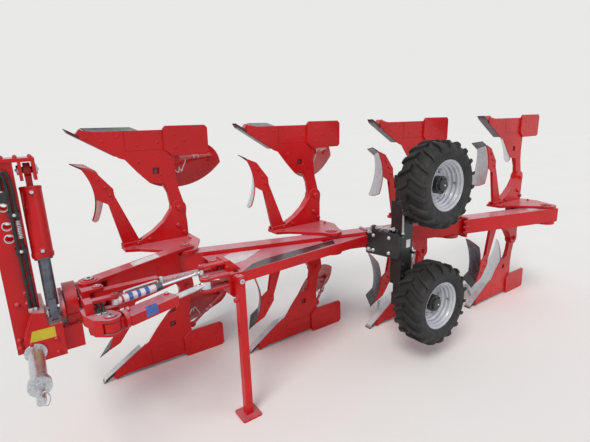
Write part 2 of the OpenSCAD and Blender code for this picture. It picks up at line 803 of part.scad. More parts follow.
module yoke() {
    difference() {
        union() {
            translate([0, 0, yoke_bottom]) linear_extrude(yoke_top - yoke_bottom) polygon(yoke_plan);
            translate([0, 0, yoke_lug_bottom]) linear_extrude(yoke_bottom - yoke_lug_bottom + 1) intersection() {
                polygon(yoke_plan);
                translate([-200, width_front[1] - 100]) square([400, 150]);
            }
        }
        translate([width_front[0], width_front[1], width_z - eye_half - lug_gap]) {
            cylinder(r = eye_sweep, h = 2 * (eye_half + lug_gap));
            translate([0, -60, 0]) cube([90, 60 + eye_sweep, 2 * (eye_half + lug_gap)]);
        }
    }
    translate([hub_x + 6, axis_y - 100, -60]) cube([40, 190, 120]);
    translate([width_front[0], width_front[1], yoke_lug_bottom - pin_head_h])
        cylinder(r = width_eye_r - pin_fit, h = yoke_top - yoke_lug_bottom + 2 * pin_head_h);
    for (z = [yoke_lug_bottom - pin_head_h, yoke_top]) translate([width_front[0], width_front[1], z])
        cylinder(r = width_eye_r + 8, h = pin_head_h);
}

module turnover_hub() {
    on_floor() color(red) {
        translate([crank_x, axis_y, 0]) rotate([90, 0, 90]) linear_extrude(crank_t) crank_plate();
        translate([crank_x, axis_y, 0]) rotate([0, 90, 0]) cylinder(r = shaft_r, h = hub_x - crank_x + 4);
        translate([hub_x, axis_y, 0]) rotate([0, 90, 0]) cylinder(r = hub_disc_r, h = 20);
        yoke();
        difference() {
            union() {
                translate([link_front[0], link_front[1], 0])
                    cylinder(r = link_r, h = 2 * (link_z - pivot_gap), center = true);
                translate([hub_x + 6, link_front[1] - 50, -link_z + pivot_gap])
                    cube([link_front[0] - hub_x - 6, 100, 2 * (link_z - pivot_gap)]);
            }
            translate([link_front[0], link_front[1], 0]) cylinder(d = pivot_pin_d + 1, h = 240, center = true);
        }
        translate([link_front[0], link_front[1], 0]) cylinder(d = pivot_pin_d, h = 2 * pin_top, center = true);
        fork(offset_front, offset_z, offset_half, 30, hub_x + 10, offset_eye_r - pin_fit);
        translate([hub_x + 6, offset_front[1] - 30, yoke_top - 10])
            cube([hub_t, 60, offset_z + offset_half + lug_gap + lug_t - yoke_top + 10]);
        fork(memory_front, memory_z, memory_half, 18, hub_x + 20, memory_eye_r - pin_fit);
        translate([hub_x - 6, memory_front[1] - 40, yoke_top - 10])
            cube([hub_t, 80, memory_z + memory_half + lug_gap + lug_t - yoke_top + 10]);
    }
}

// The barrel and the rod are drawn along Z below the upper eye
turn_barrel_end = 430;
turn_rod_in = 160;

module turnover_barrel() {
    on_floor() color(red) translate([cyl_x, axis_y, cyl_top_z]) rotate([-turn_tilt, 0, 0]) difference() {
        union() {
            rotate([0, 90, 0]) cylinder(r = 34, h = 2 * cyl_eye_half, center = true);
            translate([-14, -14, -90]) cube([28, 28, 70]);
            translate([0, 0, -turn_barrel_end]) cylinder(r = turn_barrel_r, h = turn_barrel_end - 80);
        }
        rotate([0, 90, 0]) cylinder(r = turn_pin_r + pin_fit, h = 60, center = true);
        translate([0, 0, -turn_barrel_end - 1]) cylinder(r = turn_rod_r + pin_fit, h = 300);
    }
}

rod_eye_r = 42;
rod_eye_h = 72;

module turnover_rod() {
    on_floor() color(dark) translate([cyl_x, axis_y, cyl_top_z]) rotate([-turn_tilt, 0, 0]) {
        translate([0, 0, -turn_len + 36]) cylinder(r = turn_rod_r, h = turn_len - 36 - turn_barrel_end + turn_rod_in);
        translate([0, 0, -turn_len]) rotate([0, 90, 0])
            cylinder(r = rod_eye_r, h = 2 * cyl_eye_half, center = true);
        translate([-cyl_eye_half, -rod_eye_r, -turn_len]) cube([2 * cyl_eye_half, 2 * rod_eye_r, rod_eye_h]);
        translate([-cyl_eye_half - 8, 0, -turn_len]) rotate([0, 90, 0])
            cylinder(r = turn_pin_r + 4, h = crank_x - lug_gap - cyl_x + cyl_eye_half + 8);
    }
}

// Headstock

// The lower box in side view: its crest carries the two cheeks of the tower
frame_half = 150;
frame_bottom = -225;
frame_front = [-372, -100];
frame_crest = [-318, 30];
frame_step = [-270, 20];
frame_shelf = [-262, -52];
frame_back = -204;
frame_profile = [
    [frame_front[0], frame_bottom], [frame_back, frame_bottom], [frame_back, frame_shelf[1]], frame_shelf,
    frame_step, frame_crest, frame_front
];
tower_profile = concat(
    [[tower_x0, -200], [frame_front[0], -200], frame_front, frame_crest],
    [meet(frame_crest, frame_step - frame_crest, [tower_x1, 0], [0, 1]), [tower_x1, 380]],
    arc((tower_x0 + tower_x1) / 2, tower_h - (tower_x1 - tower_x0) / 2, (tower_x1 - tower_x0) / 2, 0, 180, 10),
    [[tower_x0, 420]]
);

// Bracket on the tower top that holds the upper eye of the turnover cylinder between two lugs
bracket_y = 75;
bracket_t = 14;
bracket_low = cyl_top_z - 45;
bracket_top = cyl_top_z + 60;
bracket_roof = 18;
bracket_lugs = [cyl_x - cyl_eye_half - 6 - bracket_t, cyl_x + cyl_eye_half + 6];

module headstock_tower() {
    on_floor() color(red) {
        difference() {
            union() {
                for (side = [-1, 1])
                    side_profile(tower_profile, axis_y + side * (tower_cheek + tower_t / 2) - tower_t / 2,
                        axis_y + side * (tower_cheek + tower_t / 2) + tower_t / 2);
                for (x = bracket_lugs) translate([x, axis_y - bracket_y, bracket_low])
                    cube([bracket_t, 2 * bracket_y, bracket_top - bracket_low - 1]);
                translate([tower_x1 - 60, axis_y - bracket_y, bracket_top - bracket_roof])
                    cube([bracket_lugs[1] + bracket_t - tower_x1 + 60, 2 * bracket_y, bracket_roof]);
                translate([tower_x1 - 60, axis_y - tower_cheek - tower_t, tower_h - 65])
                    cube([60, 2 * (tower_cheek + tower_t), bracket_top - tower_h + 55]);
            }
            for (z = [top_hole_z - 60, top_hole_z, top_hole_z + 90]) translate([top_hole_x, axis_y, z])
                rotate([90, 0, 0]) cylinder(r = top_pin_r, h = 400, center = true);
        }
        translate([cyl_x, axis_y, cyl_top_z]) rotate([0, 90, 0]) cylinder(r = turn_pin_r, h = 70, center = true);
    }
}

module headstock_frame() {
    on_floor() color(red) difference() {
        side_profile(frame_profile, axis_y - frame_half, axis_y + frame_half);
        translate([axle_x, axis_y, axle_z]) rotate([90, 0, 0]) cylinder(r = axle_r + 0.3, h = 1000, center = true);
    }
}

housing_foot = 110;

module shaft_housing() {
    on_floor() color(red) difference() {
        union() {
            translate([frame_back, axis_y - housing_foot, frame_bottom])
                cube([housing_x1 - frame_back, 2 * housing_foot, 125]);
            translate([housing_x0, axis_y - housing_foot + 20, -110])
                cube([housing_x1 - housing_x0, 2 * housing_foot - 40, 60]);
            translate([housing_x0, axis_y, 0]) rotate([0, 90, 0]) cylinder(r = housing_r, h = housing_x1 - housing_x0);
        }
        translate([housing_x0 - 1, axis_y, 0]) rotate([0, 90, 0]) cylinder(r = shaft_r + 0.5, h = 200);
    }
}

collar_w = 30;

module lower_link_axle() {
    on_floor() color(steel) translate([axle_x, axis_y, axle_z]) rotate([90, 0, 0]) {
        cylinder(r = axle_r, h = link_span - collar_w, center = true);
        cylinder(r = link_pin_r, h = link_span + 2 * pin_len, center = true);
        for (side = [-1, 1]) translate([0, 0, side * (link_span - collar_w) / 2])
            cylinder(r = axle_r + 12, h = collar_w, center = true);
    }
}

// Depth wheels

module wheel_mast() {
    on_floor() color(dark) translate([mast_at[0], mast_at[1], 0]) {
        difference() {
            translate([-mast_x / 2, -mast_y / 2, -mast_h]) cube([mast_x, mast_y, 2 * mast_h]);
            translate([-slide_w / 2 - 0.6, -slide_w / 2 - 0.6, -mast_h - 1])
                cube([slide_w + 1.2, slide_w + 1.2, 2 * mast_h + 2]);
        }
        translate([-mast_at[0], -mast_at[1], 0]) mast_bracket();
    }
}

// Bracket between the mast and the beam: its plan follows the slanted beam face, and it is lower at the beam
bracket_half = 90;
bracket_beam_half = 58;

module mast_bracket() {
    front = mast_at[0] - mast_x / 2;
    rear = mast_at[0] + mast_x / 2;
    inner = mast_at[1] + mast_y / 2 - 1;
    intersection() {
        translate([0, 0, -bracket_half]) linear_extrude(2 * bracket_half)
            polygon([[front, inner], [rear, inner], [rear, beam_left(rear)], [front, beam_left(front)]]);
        translate([front - 1, 0, 0]) rotate([90, 0, 90]) linear_extrude(mast_x + 2) polygon([
            [inner - 1, -bracket_half + 1], [inner - 1, bracket_half - 1], [beam_left(rear) + 60, bracket_beam_half],
            [beam_left(rear) + 60, -bracket_beam_half]
        ]);
    }
}

// Upper arm: square slide in the mast, crank plate and stub axle. The lower arm is its mirror image.
slide_end = 120;
arm_over = 60;
arm_end_r = 50;
stub_r = 25;
arm_profile = concat(
    [[mast_at[0] - 40, wheel_z + arm_over], [mast_at[0] - 40, wheel_z - 35], [mast_at[0] + 20, wheel_z - arm_end_r]],
    arc(wheel_x, wheel_z, arm_end_r, -90, 90, 10), [[mast_at[0] + 44, wheel_z + arm_over]]
);

module wheel_arm() {
    on_floor() color(dark) {
        translate([mast_at[0] - slide_w / 2, mast_at[1] - slide_w / 2, slide_end])
            cube([slide_w, slide_w, wheel_z + arm_over - slide_end]);
        side_profile(arm_profile, mast_at[1] - mast_y / 2, mast_at[1] + mast_y / 2);
        translate([wheel_x, wheel_y, wheel_z]) rotate([-90, 0, 0]) cylinder(r = stub_r, h = mast_at[1] - wheel_y);
    }
}
module wheel_arm_upper() { wheel_arm(); }
module wheel_arm_lower() {
    translate([0, 0, 2 * under_beam]) mirror([0, 0, 1]) wheel_arm();
}

carcass_r = tyre_r - lug_h;
tyre_half = [
    [rim_r, 0], [rim_r, tyre_w * 0.36], [rim_r + 14, tyre_w * 0.42], [(rim_r + carcass_r) / 2, tyre_w * 0.48],
    [carcass_r - 30, tyre_w * 0.46], [carcass_r - 10, tyre_w * 0.38], [carcass_r, tyre_w * 0.2], [carcass_r + 3, 0]
];

module wheel_place(side) {
    on_floor() translate([wheel_x, wheel_y, side * wheel_z]) rotate([90, 0, 0]) children();
}

module tyre(side) {
    wheel_place(side) color("#1c1c1e") {
        rotate_extrude($fn = 96) {
            polygon(concat(tyre_half, [for (i = [len(tyre_half) - 2:-1:1]) [tyre_half[i][0], -tyre_half[i][1]]]));
        }
        for (half = [0, 1], i = [0:lug_count - 1]) mirror([0, 0, half])
            rotate([0, 0, (i + half / 2) * 360 / lug_count]) lug();
    }
}

module lug() {
    w = 13;
    r0 = carcass_r - 16;
    outer = tyre_w / 2;
    sheet([[[r0, -w, -6], [r0, w, -6]], [[tyre_r, -w, -6], [tyre_r, w, -6]]],
        [[[r0 - 22, 62 - w, outer], [r0 - 22, 62 + w, outer]], [[tyre_r - 16, 60 - w, outer], [tyre_r - 16, 60 + w, outer]]]);
}

// Half section of the rim: hub, dished disc with two rings, well and bead seats
rim_section = [
    [stub_r + 0.5, -hub_half], [hub_r, -hub_half], [hub_r, -22], [118, -22], [130, -8], [rim_r - 14, -8], [rim_r - 14, -tyre_w * 0.38],
    [rim_r + 8, -tyre_w * 0.41], [rim_r - 0.5, -tyre_w * 0.36 - 1], [rim_r - 0.5, tyre_w * 0.36 + 1],
    [rim_r + 8, tyre_w * 0.41], [rim_r - 14, tyre_w * 0.38], [rim_r - 14, 16], [138, 16], [124, 0], [104, 0],
    [98, -7], [84, -7], [78, 0], [hub_r, 0], [hub_r, hub_half], [stub_r + 0.5, hub_half]
];

module rim(side) {
    wheel_place(side) color(rim_grey) rotate_extrude($fn = 96) polygon(rim_section);
}

module tyre_upper() { tyre(1); }
module tyre_lower() { tyre(-1); }
module rim_upper() { rim(1); }
module rim_lower() { rim(-1); }

headstock_tower();
headstock_frame();
shaft_housing();
lower_link_axle();
turnover_barrel();
turnover_rod();
turnover_hub();
main_link();
offset_link();
width_barrel();
width_rod();
memory_barrel();
memory_rod();
main_beam();
front_brace();
beam_sleeve();
tie_bar();
stand();
wheel_mast();
wheel_arm_upper();
wheel_arm_lower();
tyre_upper();
tyre_lower();
rim_upper();
rim_lower();
carrier(1);  // carrier_1
carrier(2);  // carrier_2
carrier(3);  // carrier_3
carrier(4);  // carrier_4
frogs(1);  // frogs_1
frogs(2);  // frogs_2
frogs(3);  // frogs_3
frogs(4);  // frogs_4
moldboards(1);  // moldboards_1
moldboards(2);  // moldboards_2
moldboards(3);  // moldboards_3
moldboards(4);  // moldboards_4
shares(1);  // shares_1
shares(2);  // shares_2
shares(3);  // shares_3
shares(4);  // shares_4
skimmers(1);  // skimmers_1
skimmers(2);  // skimmers_2
skimmers(3);  // skimmers_3
skimmers(4);  // skimmers_4
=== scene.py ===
"""Looks of a four-furrow mounted reversible plough with variable working width.

Places are given as the part's drawing gives them: millimetres from the first lower share tip,
the first landside and the beam's centre plane. X runs rearwards, Y to the right, Z up.
"""
import math

import bmesh
import bpy
from mathutils import Matrix, Vector


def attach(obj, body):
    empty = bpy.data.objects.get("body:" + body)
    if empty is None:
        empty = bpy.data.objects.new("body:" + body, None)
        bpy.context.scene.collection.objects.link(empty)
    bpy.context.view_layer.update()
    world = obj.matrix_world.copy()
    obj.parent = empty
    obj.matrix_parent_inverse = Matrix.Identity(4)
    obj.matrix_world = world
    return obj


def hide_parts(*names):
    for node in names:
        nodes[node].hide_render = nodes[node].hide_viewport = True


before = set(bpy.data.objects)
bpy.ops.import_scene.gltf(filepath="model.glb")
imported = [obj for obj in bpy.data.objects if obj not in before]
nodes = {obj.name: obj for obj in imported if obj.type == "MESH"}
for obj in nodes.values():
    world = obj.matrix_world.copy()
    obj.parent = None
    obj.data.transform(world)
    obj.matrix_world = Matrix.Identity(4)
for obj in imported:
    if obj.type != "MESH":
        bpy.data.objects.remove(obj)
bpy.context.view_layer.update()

MM = 0.001
# The middle of the part's box and its floor, in the drawing
ORIGIN = Vector((1934.535, -412.223, -890.0))

# Rows: height of the beam's centre over the sole, and the steps from one row to the next
UNDER_BEAM = 890
PITCH = 1020
OFFSET = 300
SIDES = (-1, 1)
# Beam: its angle to the travel, first pivot, width, and the upper faces of beam, brace and web
BEAM_ANGLE = math.atan(OFFSET / PITCH)
PIVOT = (580, -305)
BEAM_W = 120
BEAM_TOP = 60
BRACE_TOP = 33
WEB_TOP = 31
SLEEVE_U = 2220
# Faces of leg, heel plate and carrier cheeks, and the thickness of a moldboard
LEG_Y = (6, 36)
HEEL_Y = -8
CHEEK_Y = (-10, 52)
BOARD_T = 9
# Upper faces of carriers and link, and the ends of their pins
CARRIER_TOP = 84
LINK_TOP = 106
PIN_TOP = 116
# Headstock: axis of the turnover, half widths of tower and lower box, lower link pins
AXIS_Y = -530
TOWER_HALF = 67
FRAME_HALF = 150
AXLE = (-335, -170)
# Turnover cylinder: top pin, and the crank's radius
TURN_PIN = (-230, AXIS_Y, 700)
CRANK = 115
# Members of the width linkage: front pin, and the way from it to the rear pin
MAIN_LINK = ((-50, -590, LINK_TOP), (630, 285))
OFFSET_LINK = ((-30, -700, 52), (630, -15))
WIDTH_CYLINDER = ((-25, -985, 4), (537, 185))
MEMORY_CYLINDER = ((20, -880, 70), (480, 110))
# Wheels: mast, its left face, and the upper wheel's centre
MAST = (1975, -960)
MAST_FACE = MAST[1] - 50
WHEEL = (2090, -1150, 437)

UP = (0, 0, 1)
LEFT = (0, -1, 0)
REAR = (1, 0, 0)
# Turns of a local frame: its Z to the left, its Z to the rear, and its mirror image through the beam's plane
Z_LEFT = Matrix.Rotation(math.pi / 2, 4, "X")
Z_REAR = Matrix.Rotation(math.pi / 2, 4, "Y")
MIRROR = Matrix.Diagonal((1, 1, -1, 1))


# Materials


def linear(hexcode):
    """A colour as it is seen, such as c8141c, in the shader's linear values."""
    values = [int(hexcode[i:i + 2], 16) / 255 for i in (0, 2, 4)]
    return tuple(v / 12.92 if v <= 0.04045 else ((v + 0.055) / 1.055) ** 2.4 for v in values) + (1.0,)


class Look:
    """One node material in the making. Coordinates are the object's own, so a finish rides with its body."""

    def __init__(self, name, colour, roughness, soft_edge=0.0, **fixed):
        self.material = bpy.data.materials.new(name)
        self.material.use_nodes = True
        self.tree = self.material.node_tree
        self.shader = self.tree.nodes["Principled BSDF"]
        self.link(colour, self.shader.inputs["Base Color"])
        self.shader.inputs["Roughness"].default_value = roughness
        for socket, value in fixed.items():
            self.shader.inputs[socket.replace("_", " ")].default_value = value
        self.coords = self.tree.nodes.new("ShaderNodeTexCoord")
        self.height = self.rounded(soft_edge) if soft_edge else None
        if self.height:
            self.link(self.height, self.shader.inputs["Normal"])

    def link(self, value, socket):
        if isinstance(value, str):
            value = linear(value)
        if isinstance(value, bpy.types.NodeSocket):
            self.tree.links.new(value, socket)
        else:
            socket.default_value = value

    def rounded(self, radius):
        """A normal that turns softly over an edge."""
        bevel = self.tree.nodes.new("ShaderNodeBevel")
        bevel.samples = 4
        bevel.inputs["Radius"].default_value = radius
        return bevel.outputs["Normal"]

    def noise(self, scale, detail=3.0, stretch=(1, 1, 1)):
        mapping = self.tree.nodes.new("ShaderNodeMapping")
        mapping.inputs["Scale"].default_value = stretch
        self.link(self.coords.outputs["Object"], mapping.inputs["Vector"])
        texture = self.tree.nodes.new("ShaderNodeTexNoise")
        texture.inputs["Scale"].default_value = scale
        texture.inputs["Detail"].default_value = detail
        self.link(mapping.outputs["Vector"], texture.inputs["Vector"])
        return texture.outputs["Fac"]

    def remap(self, value, low, high, to_low=0.0, to_high=1.0):
        node = self.tree.nodes.new("ShaderNodeMapRange")
        for socket, number in zip(node.inputs, (value, low, high, to_low, to_high)):
            self.link(number, socket)
        return node.outputs["Result"]

    def math(self, operation, a, b=0.0):
        node = self.tree.nodes.new("ShaderNodeMath")
        node.operation = operation
        self.link(a, node.inputs[0])
        self.link(b, node.inputs[1])
        return node.outputs["Value"]

    def times(self, a, b):
        return self.math("MULTIPLY", a, b)

    def mix(self, factor, a, b):
        node = self.tree.nodes.new("ShaderNodeMix")
        node.data_type = "RGBA"
        self.link(factor, node.inputs["Factor"])
        self.link(a, node.inputs["A"])
        self.link(b, node.inputs["B"])
        return node.outputs["Result"]

    def edges(self, radius):
        """1 on an edge, 0 on a face."""
        geometry = self.tree.nodes.new("ShaderNodeNewGeometry")
        dot = self.tree.nodes.new("ShaderNodeVectorMath")
        dot.operation = "DOT_PRODUCT"
        self.link(self.rounded(radius), dot.inputs[0])
        self.link(geometry.outputs["Normal"], dot.inputs[1])
        return self.remap(dot.outputs["Value"], 0.97, 0.8)

    def axis(self, output, letter):
        split = self.tree.nodes.new("ShaderNodeSeparateXYZ")
        self.link(self.coords.outputs[output], split.inputs["Vector"])
        return split.outputs[letter]

    def upward(self):
        """1 on a face that looks up while the plough stands, 0 on one that looks sideways or down."""
        return self.remap(self.axis("Normal", "Z"), 0.3, 1.0)

    def near_sole(self, start, end):
        """0 nearer to the beam than start, 1 past end, in metres from the beam's centre plane."""
        away = self.math("ABSOLUTE", self.math("SUBTRACT", self.axis("Object", "Z"), UNDER_BEAM * MM))
        return self.remap(away, start, end)

    def colour(self, value):
        self.link(value, self.shader.inputs["Base Color"])

    def rough(self, value):
        self.link(value, self.shader.inputs["Roughness"])

    def patchy(self, scale, detail, low, high, to_low=0.0, to_high=1.0):
        return self.remap(self.noise(scale, detail), low, high, to_low, to_high)

    def skin(self, grain, gloss, pits, depth, strength):
        """Roughness that wanders between two values, and a fine relief. Each noise is its scale and detail."""
        self.rough(self.remap(self.noise(*grain), 0.3, 0.7, *gloss))
        self.bump(self.noise(*pits), depth, strength)

    def bump(self, height, distance, strength):
        node = self.tree.nodes.new("ShaderNodeBump")
        node.inputs["Distance"].default_value = distance
        node.inputs["Strength"].default_value = strength
        self.link(height, node.inputs["Height"])
        if self.height:
            self.link(self.height, node.inputs["Normal"])
        self.height = node.outputs["Normal"]
        self.link(self.height, self.shader.inputs["Normal"])


def red_paint():
    look = Look("red_paint", "c4161b", 0.3, 0.004, Coat_Weight=0.12, Coat_Roughness=0.1,
                Specular_IOR_Level=0.3)
    patches = look.remap(look.noise(2.3), 0.35, 0.65)
    body = look.mix(patches, "ce1016", "bb0d13")
    # Painted sky reflection: faces that look up are mixed, in patches, towards a pale lilac
    dust_and_sheen = look.times(look.upward(), look.patchy(3, 5, 0.35, 0.7, 0.32, 0.62))
    # The flat tops of the beam and its brace get more of this painted sky reflection than the plates above them
    level = look.remap(look.near_sole(0.064, 0.08), 0.0, 1.0, 1.0, 0.5)
    sky_sheened = look.mix(look.times(dust_and_sheen, level), body, "cdb8c8")
    chips = look.times(look.edges(0.002), look.patchy(90, 3, 0.62, 0.7, 0.0, 0.4))
    chipped = look.mix(chips, sky_sheened, "8d7f7c")
    grime = look.times(look.near_sole(0.7, 0.9), look.patchy(6, 5, 0.4, 0.8, 0.05, 0.3))
    look.colour(look.mix(grime, chipped, "8a1518"))
    look.skin((9, 5), (0.24, 0.4), (320, 2), 0.0002, 0.3)
    return look.material


def black_paint():
    look = Look("black_paint", "1d1e21", 0.38, 0.003, Coat_Weight=0.2, Coat_Roughness=0.2)
    dust_and_sheen = look.patchy(11, 6, 0.45, 0.8, 0.0, 0.3)
    worn = look.mix(dust_and_sheen, "191a1d", "454340")
    chips = look.times(look.edges(0.002), look.patchy(70, 3, 0.55, 0.7, 0.0, 0.5))
    look.colour(look.mix(chips, worn, "7c7c7e"))
    look.skin((18, 4), (0.3, 0.5), (300, 2), 0.0002, 0.4)
    return look.material


def board_steel():
    """Ground steel of the working faces, with the maker's protective lacquer still on it."""
    look = Look("board_steel", "b4b8be", 0.3, Metallic=0.55, Coat_Weight=0.3, Coat_Roughness=0.2)
    streaks = look.noise(4, 2, (1, 5, 5))
    tone = look.mix(look.remap(streaks, 0.3, 0.7), "b0b4bb", "c8cbd0")
    stain = look.patchy(4, 3, 0.55, 0.8, 0.0, 0.25)
    look.colour(look.mix(stain, tone, "8f8a86"))
    look.rough(look.remap(streaks, 0.3, 0.7, 0.24, 0.42))
    look.bump(look.noise(12, 2, (1, 6, 6)), 0.0002, 0.1)
    return look.material


def share_steel():
    """Pale lacquered shares with a dark side, painted highlights on their edges, painted shade on the upper
    shares, and a darker band along the cutting edge.
    """
    look = Look("share_steel", "9b9fa6", 0.34, 0.002, Metallic=0.3, Coat_Weight=0.2)
    patches = look.patchy(12, 6, 0.35, 0.7)
    tone = look.mix(patches, "b4b9c0", "d8dade")
    # Painted highlight: every edge of the shares is lighter
    rim = look.mix(look.edges(0.004), tone, "e2e4e7")
    flank = look.remap(look.axis("Normal", "Y"), -0.6, -0.85)
    # Painted shade on the upper shares: above 1.25 m their faces are mixed towards dark grey. Heights are metres
    # over the sole.
    upper = look.remap(look.axis("Object", "Z"), 1.25, 1.35)
    with_upper_shade = look.mix(upper, rim, look.mix(patches, "585a62", "7b7d84"))
    side = look.mix(flank, with_upper_shade, look.mix(patches, "4a2227", "362a30"))
    # Darker, in patches, in the lowest millimetres next to the sole
    edge = look.times(look.near_sole(0.868, 0.884), look.patchy(30, 5, 0.3, 0.6, 0.5, 1.0))
    look.colour(look.mix(edge, side, "3b3b41"))
    look.skin((40, 4), (0.26, 0.46), (180, 4), 0.0003, 0.4)
    return look.material


def chrome():
    look = Look("chrome", "dfe1e5", 0.08, Metallic=1.0)
    look.colour(look.mix(look.patchy(30, 3, 0.4, 0.7), "e2e4e8", "c9ccd2"))
    look.rough(look.patchy(50, 2, 0.3, 0.8, 0.05, 0.14))
    look.bump(look.noise(500, 1), 0.00003, 0.2)
    return look.material


def zinc():
    look = Look("zinc", "b9bcc0", 0.35, Metallic=0.85)
    spangle = look.patchy(120, 2, 0.35, 0.65)
    look.colour(look.mix(spangle, "b3b7bc", "d6d8db"))
    look.rough(look.remap(spangle, 0.0, 1.0, 0.28, 0.45))
    look.bump(look.noise(260, 2), 0.0002, 0.3)
    return look.material


def dark_steel():
    look = Look("dark_steel", "5a5d66", 0.3, Metallic=0.7)
    patches = look.patchy(20, 4, 0.35, 0.7)
    look.colour(look.mix(patches, "50535c", "6e717b"))
    look.skin((60, 3), (0.22, 0.38), (300, 2), 0.0001, 0.3)
    return look.material


def tyre_rubber():
    look = Look("tyre_rubber", "202022", 0.72)
    dust_and_sheen = look.patchy(7, 6, 0.4, 0.75, 0.0, 0.55)
    look.colour(look.mix(dust_and_sheen, "1b1b1d", "3a3937"))
    look.skin((30, 5), (0.58, 0.82), (420, 4), 0.0005, 0.5)
    return look.material


def rubber_hose():
    look = Look("hose_rubber", "18181a", 0.55)
    look.colour(look.mix(look.patchy(25, 4, 0.4, 0.7), "151517", "2a2a2c"))
    look.skin((60, 3), (0.45, 0.65), (900, 2), 0.0002, 0.5)
    return look.material


def rim_paint():
    look = Look("rim_paint", "c3c5cc", 0.35, 0.002, Metallic=0.3, Coat_Weight=0.15)
    patches = look.patchy(8, 5, 0.35, 0.7)
    tone = look.mix(patches, "b7b9c1", "ced0d5")
    look.colour(look.mix(look.patchy(26, 6, 0.6, 0.8, 0.0, 0.4), tone, "8d8b88"))
    look.skin((50, 3), (0.3, 0.48), (300, 2), 0.0002, 0.3)
    return look.material


def film(name, light, dark):
    """A blank sticker or painted stripe."""
    look = Look(name, light, 0.3, Coat_Weight=0.3, Coat_Roughness=0.15)
    wear = look.patchy(16, 6, 0.4, 0.75)
    look.colour(look.mix(wear, light, dark))
    look.skin((60, 3), (0.25, 0.42), (250, 2), 0.0001, 0.3)
    return look.material


# A finish: its material and the record's slot that it belongs to
FINISH = {
    "red": (red_paint(), "red_paint"),
    "black": (black_paint(), "black_paint"),
    "board": (board_steel(), "board_steel"),
    "share": (share_steel(), "share_steel"),
    "chrome": (chrome(), "chrome"),
    "zinc": (zinc(), "bare_steel"),
    "dark": (dark_steel(), "dark_steel"),
    "rubber": (tyre_rubber(), "tyre_rubber"),
    "hose": (rubber_hose(), "black_paint"),
    "rim": (rim_paint(), "rim_paint"),
    "pale": (film("pale_film", "e2dfe2", "cfcace"), "zinc"),
    "night": (film("black_film", "24252b", "34353b"), "black_paint"),
    "blue": (film("blue_film", "3a63b0", "3457a0"), "zinc"),
    "yellow": (film("yellow_film", "d3bd1f", "bda71c"), "zinc"),
}

# CAD nodes that keep their shape: the start of the node's name gives its finish
NODE_FINISH = {
    "lower_link_axle": "zinc", "turnover_rod": "dark", "width_rod": "chrome", "memory_barrel": "pale",
    "memory_rod": "chrome", "wheel_mast": "black", "wheel_arm": "black", "tyre": "rubber", "rim": "rim",
    "shares": "share",
}

for name, node in nodes.items():
    finish = next((value for start, value in NODE_FINISH.items() if name.startswith(start)), "red")
    node.data.materials.clear()
    node.data.materials.append(FINISH[finish][0])


# Shapes, drawn in the drawing's millimetres


def axes(place, out, side=UP):
    """Local frame at a place: its Z runs out of the surface and its X points to side."""
    z = Vector(out).normalized()
    x = Vector(side) - Vector(side).dot(z) * z
    if x.length < 1e-3:
        x = Vector((1, 0, 0)) - z.x * z
    x.normalize()
    turn = Matrix((x, z.cross(x), z)).transposed().to_4x4()
    return Matrix.Translation(Vector(place)) @ turn


def circle(radius, count):
    return [(radius * math.cos(2 * math.pi * k / count), radius * math.sin(2 * math.pi * k / count))
            for k in range(count)]


def around(frame_at, count, start, radius, height):
    """Frames in a circle round the frame's Z, the first at start degrees."""
    angles = [math.radians(360 / count * k + start) for k in range(count)]
    return [frame_at @ Matrix.Translation((radius * math.cos(a), radius * math.sin(a), height)) for a in angles]


def shrink(points, distance):
    """A convex outline moved inwards by a distance."""
    count = len(points)
    area = sum(points[i - 1][0] * points[i][1] - points[i][0] * points[i - 1][1] for i in range(count))
    turn = 1 if area > 0 else -1
    result = []
    for i in range(count):
        before, here, after = (Vector(points[k % count]) for k in (i - 1, i, i + 1))
        a = (here - before).normalized()
        b = (after - here).normalized()
        inward = Vector((-a.y - b.y, a.x + b.x)) * turn
        result.append(tuple(here + inward * distance / max(0.3, 1 + a.dot(b))))
    return result


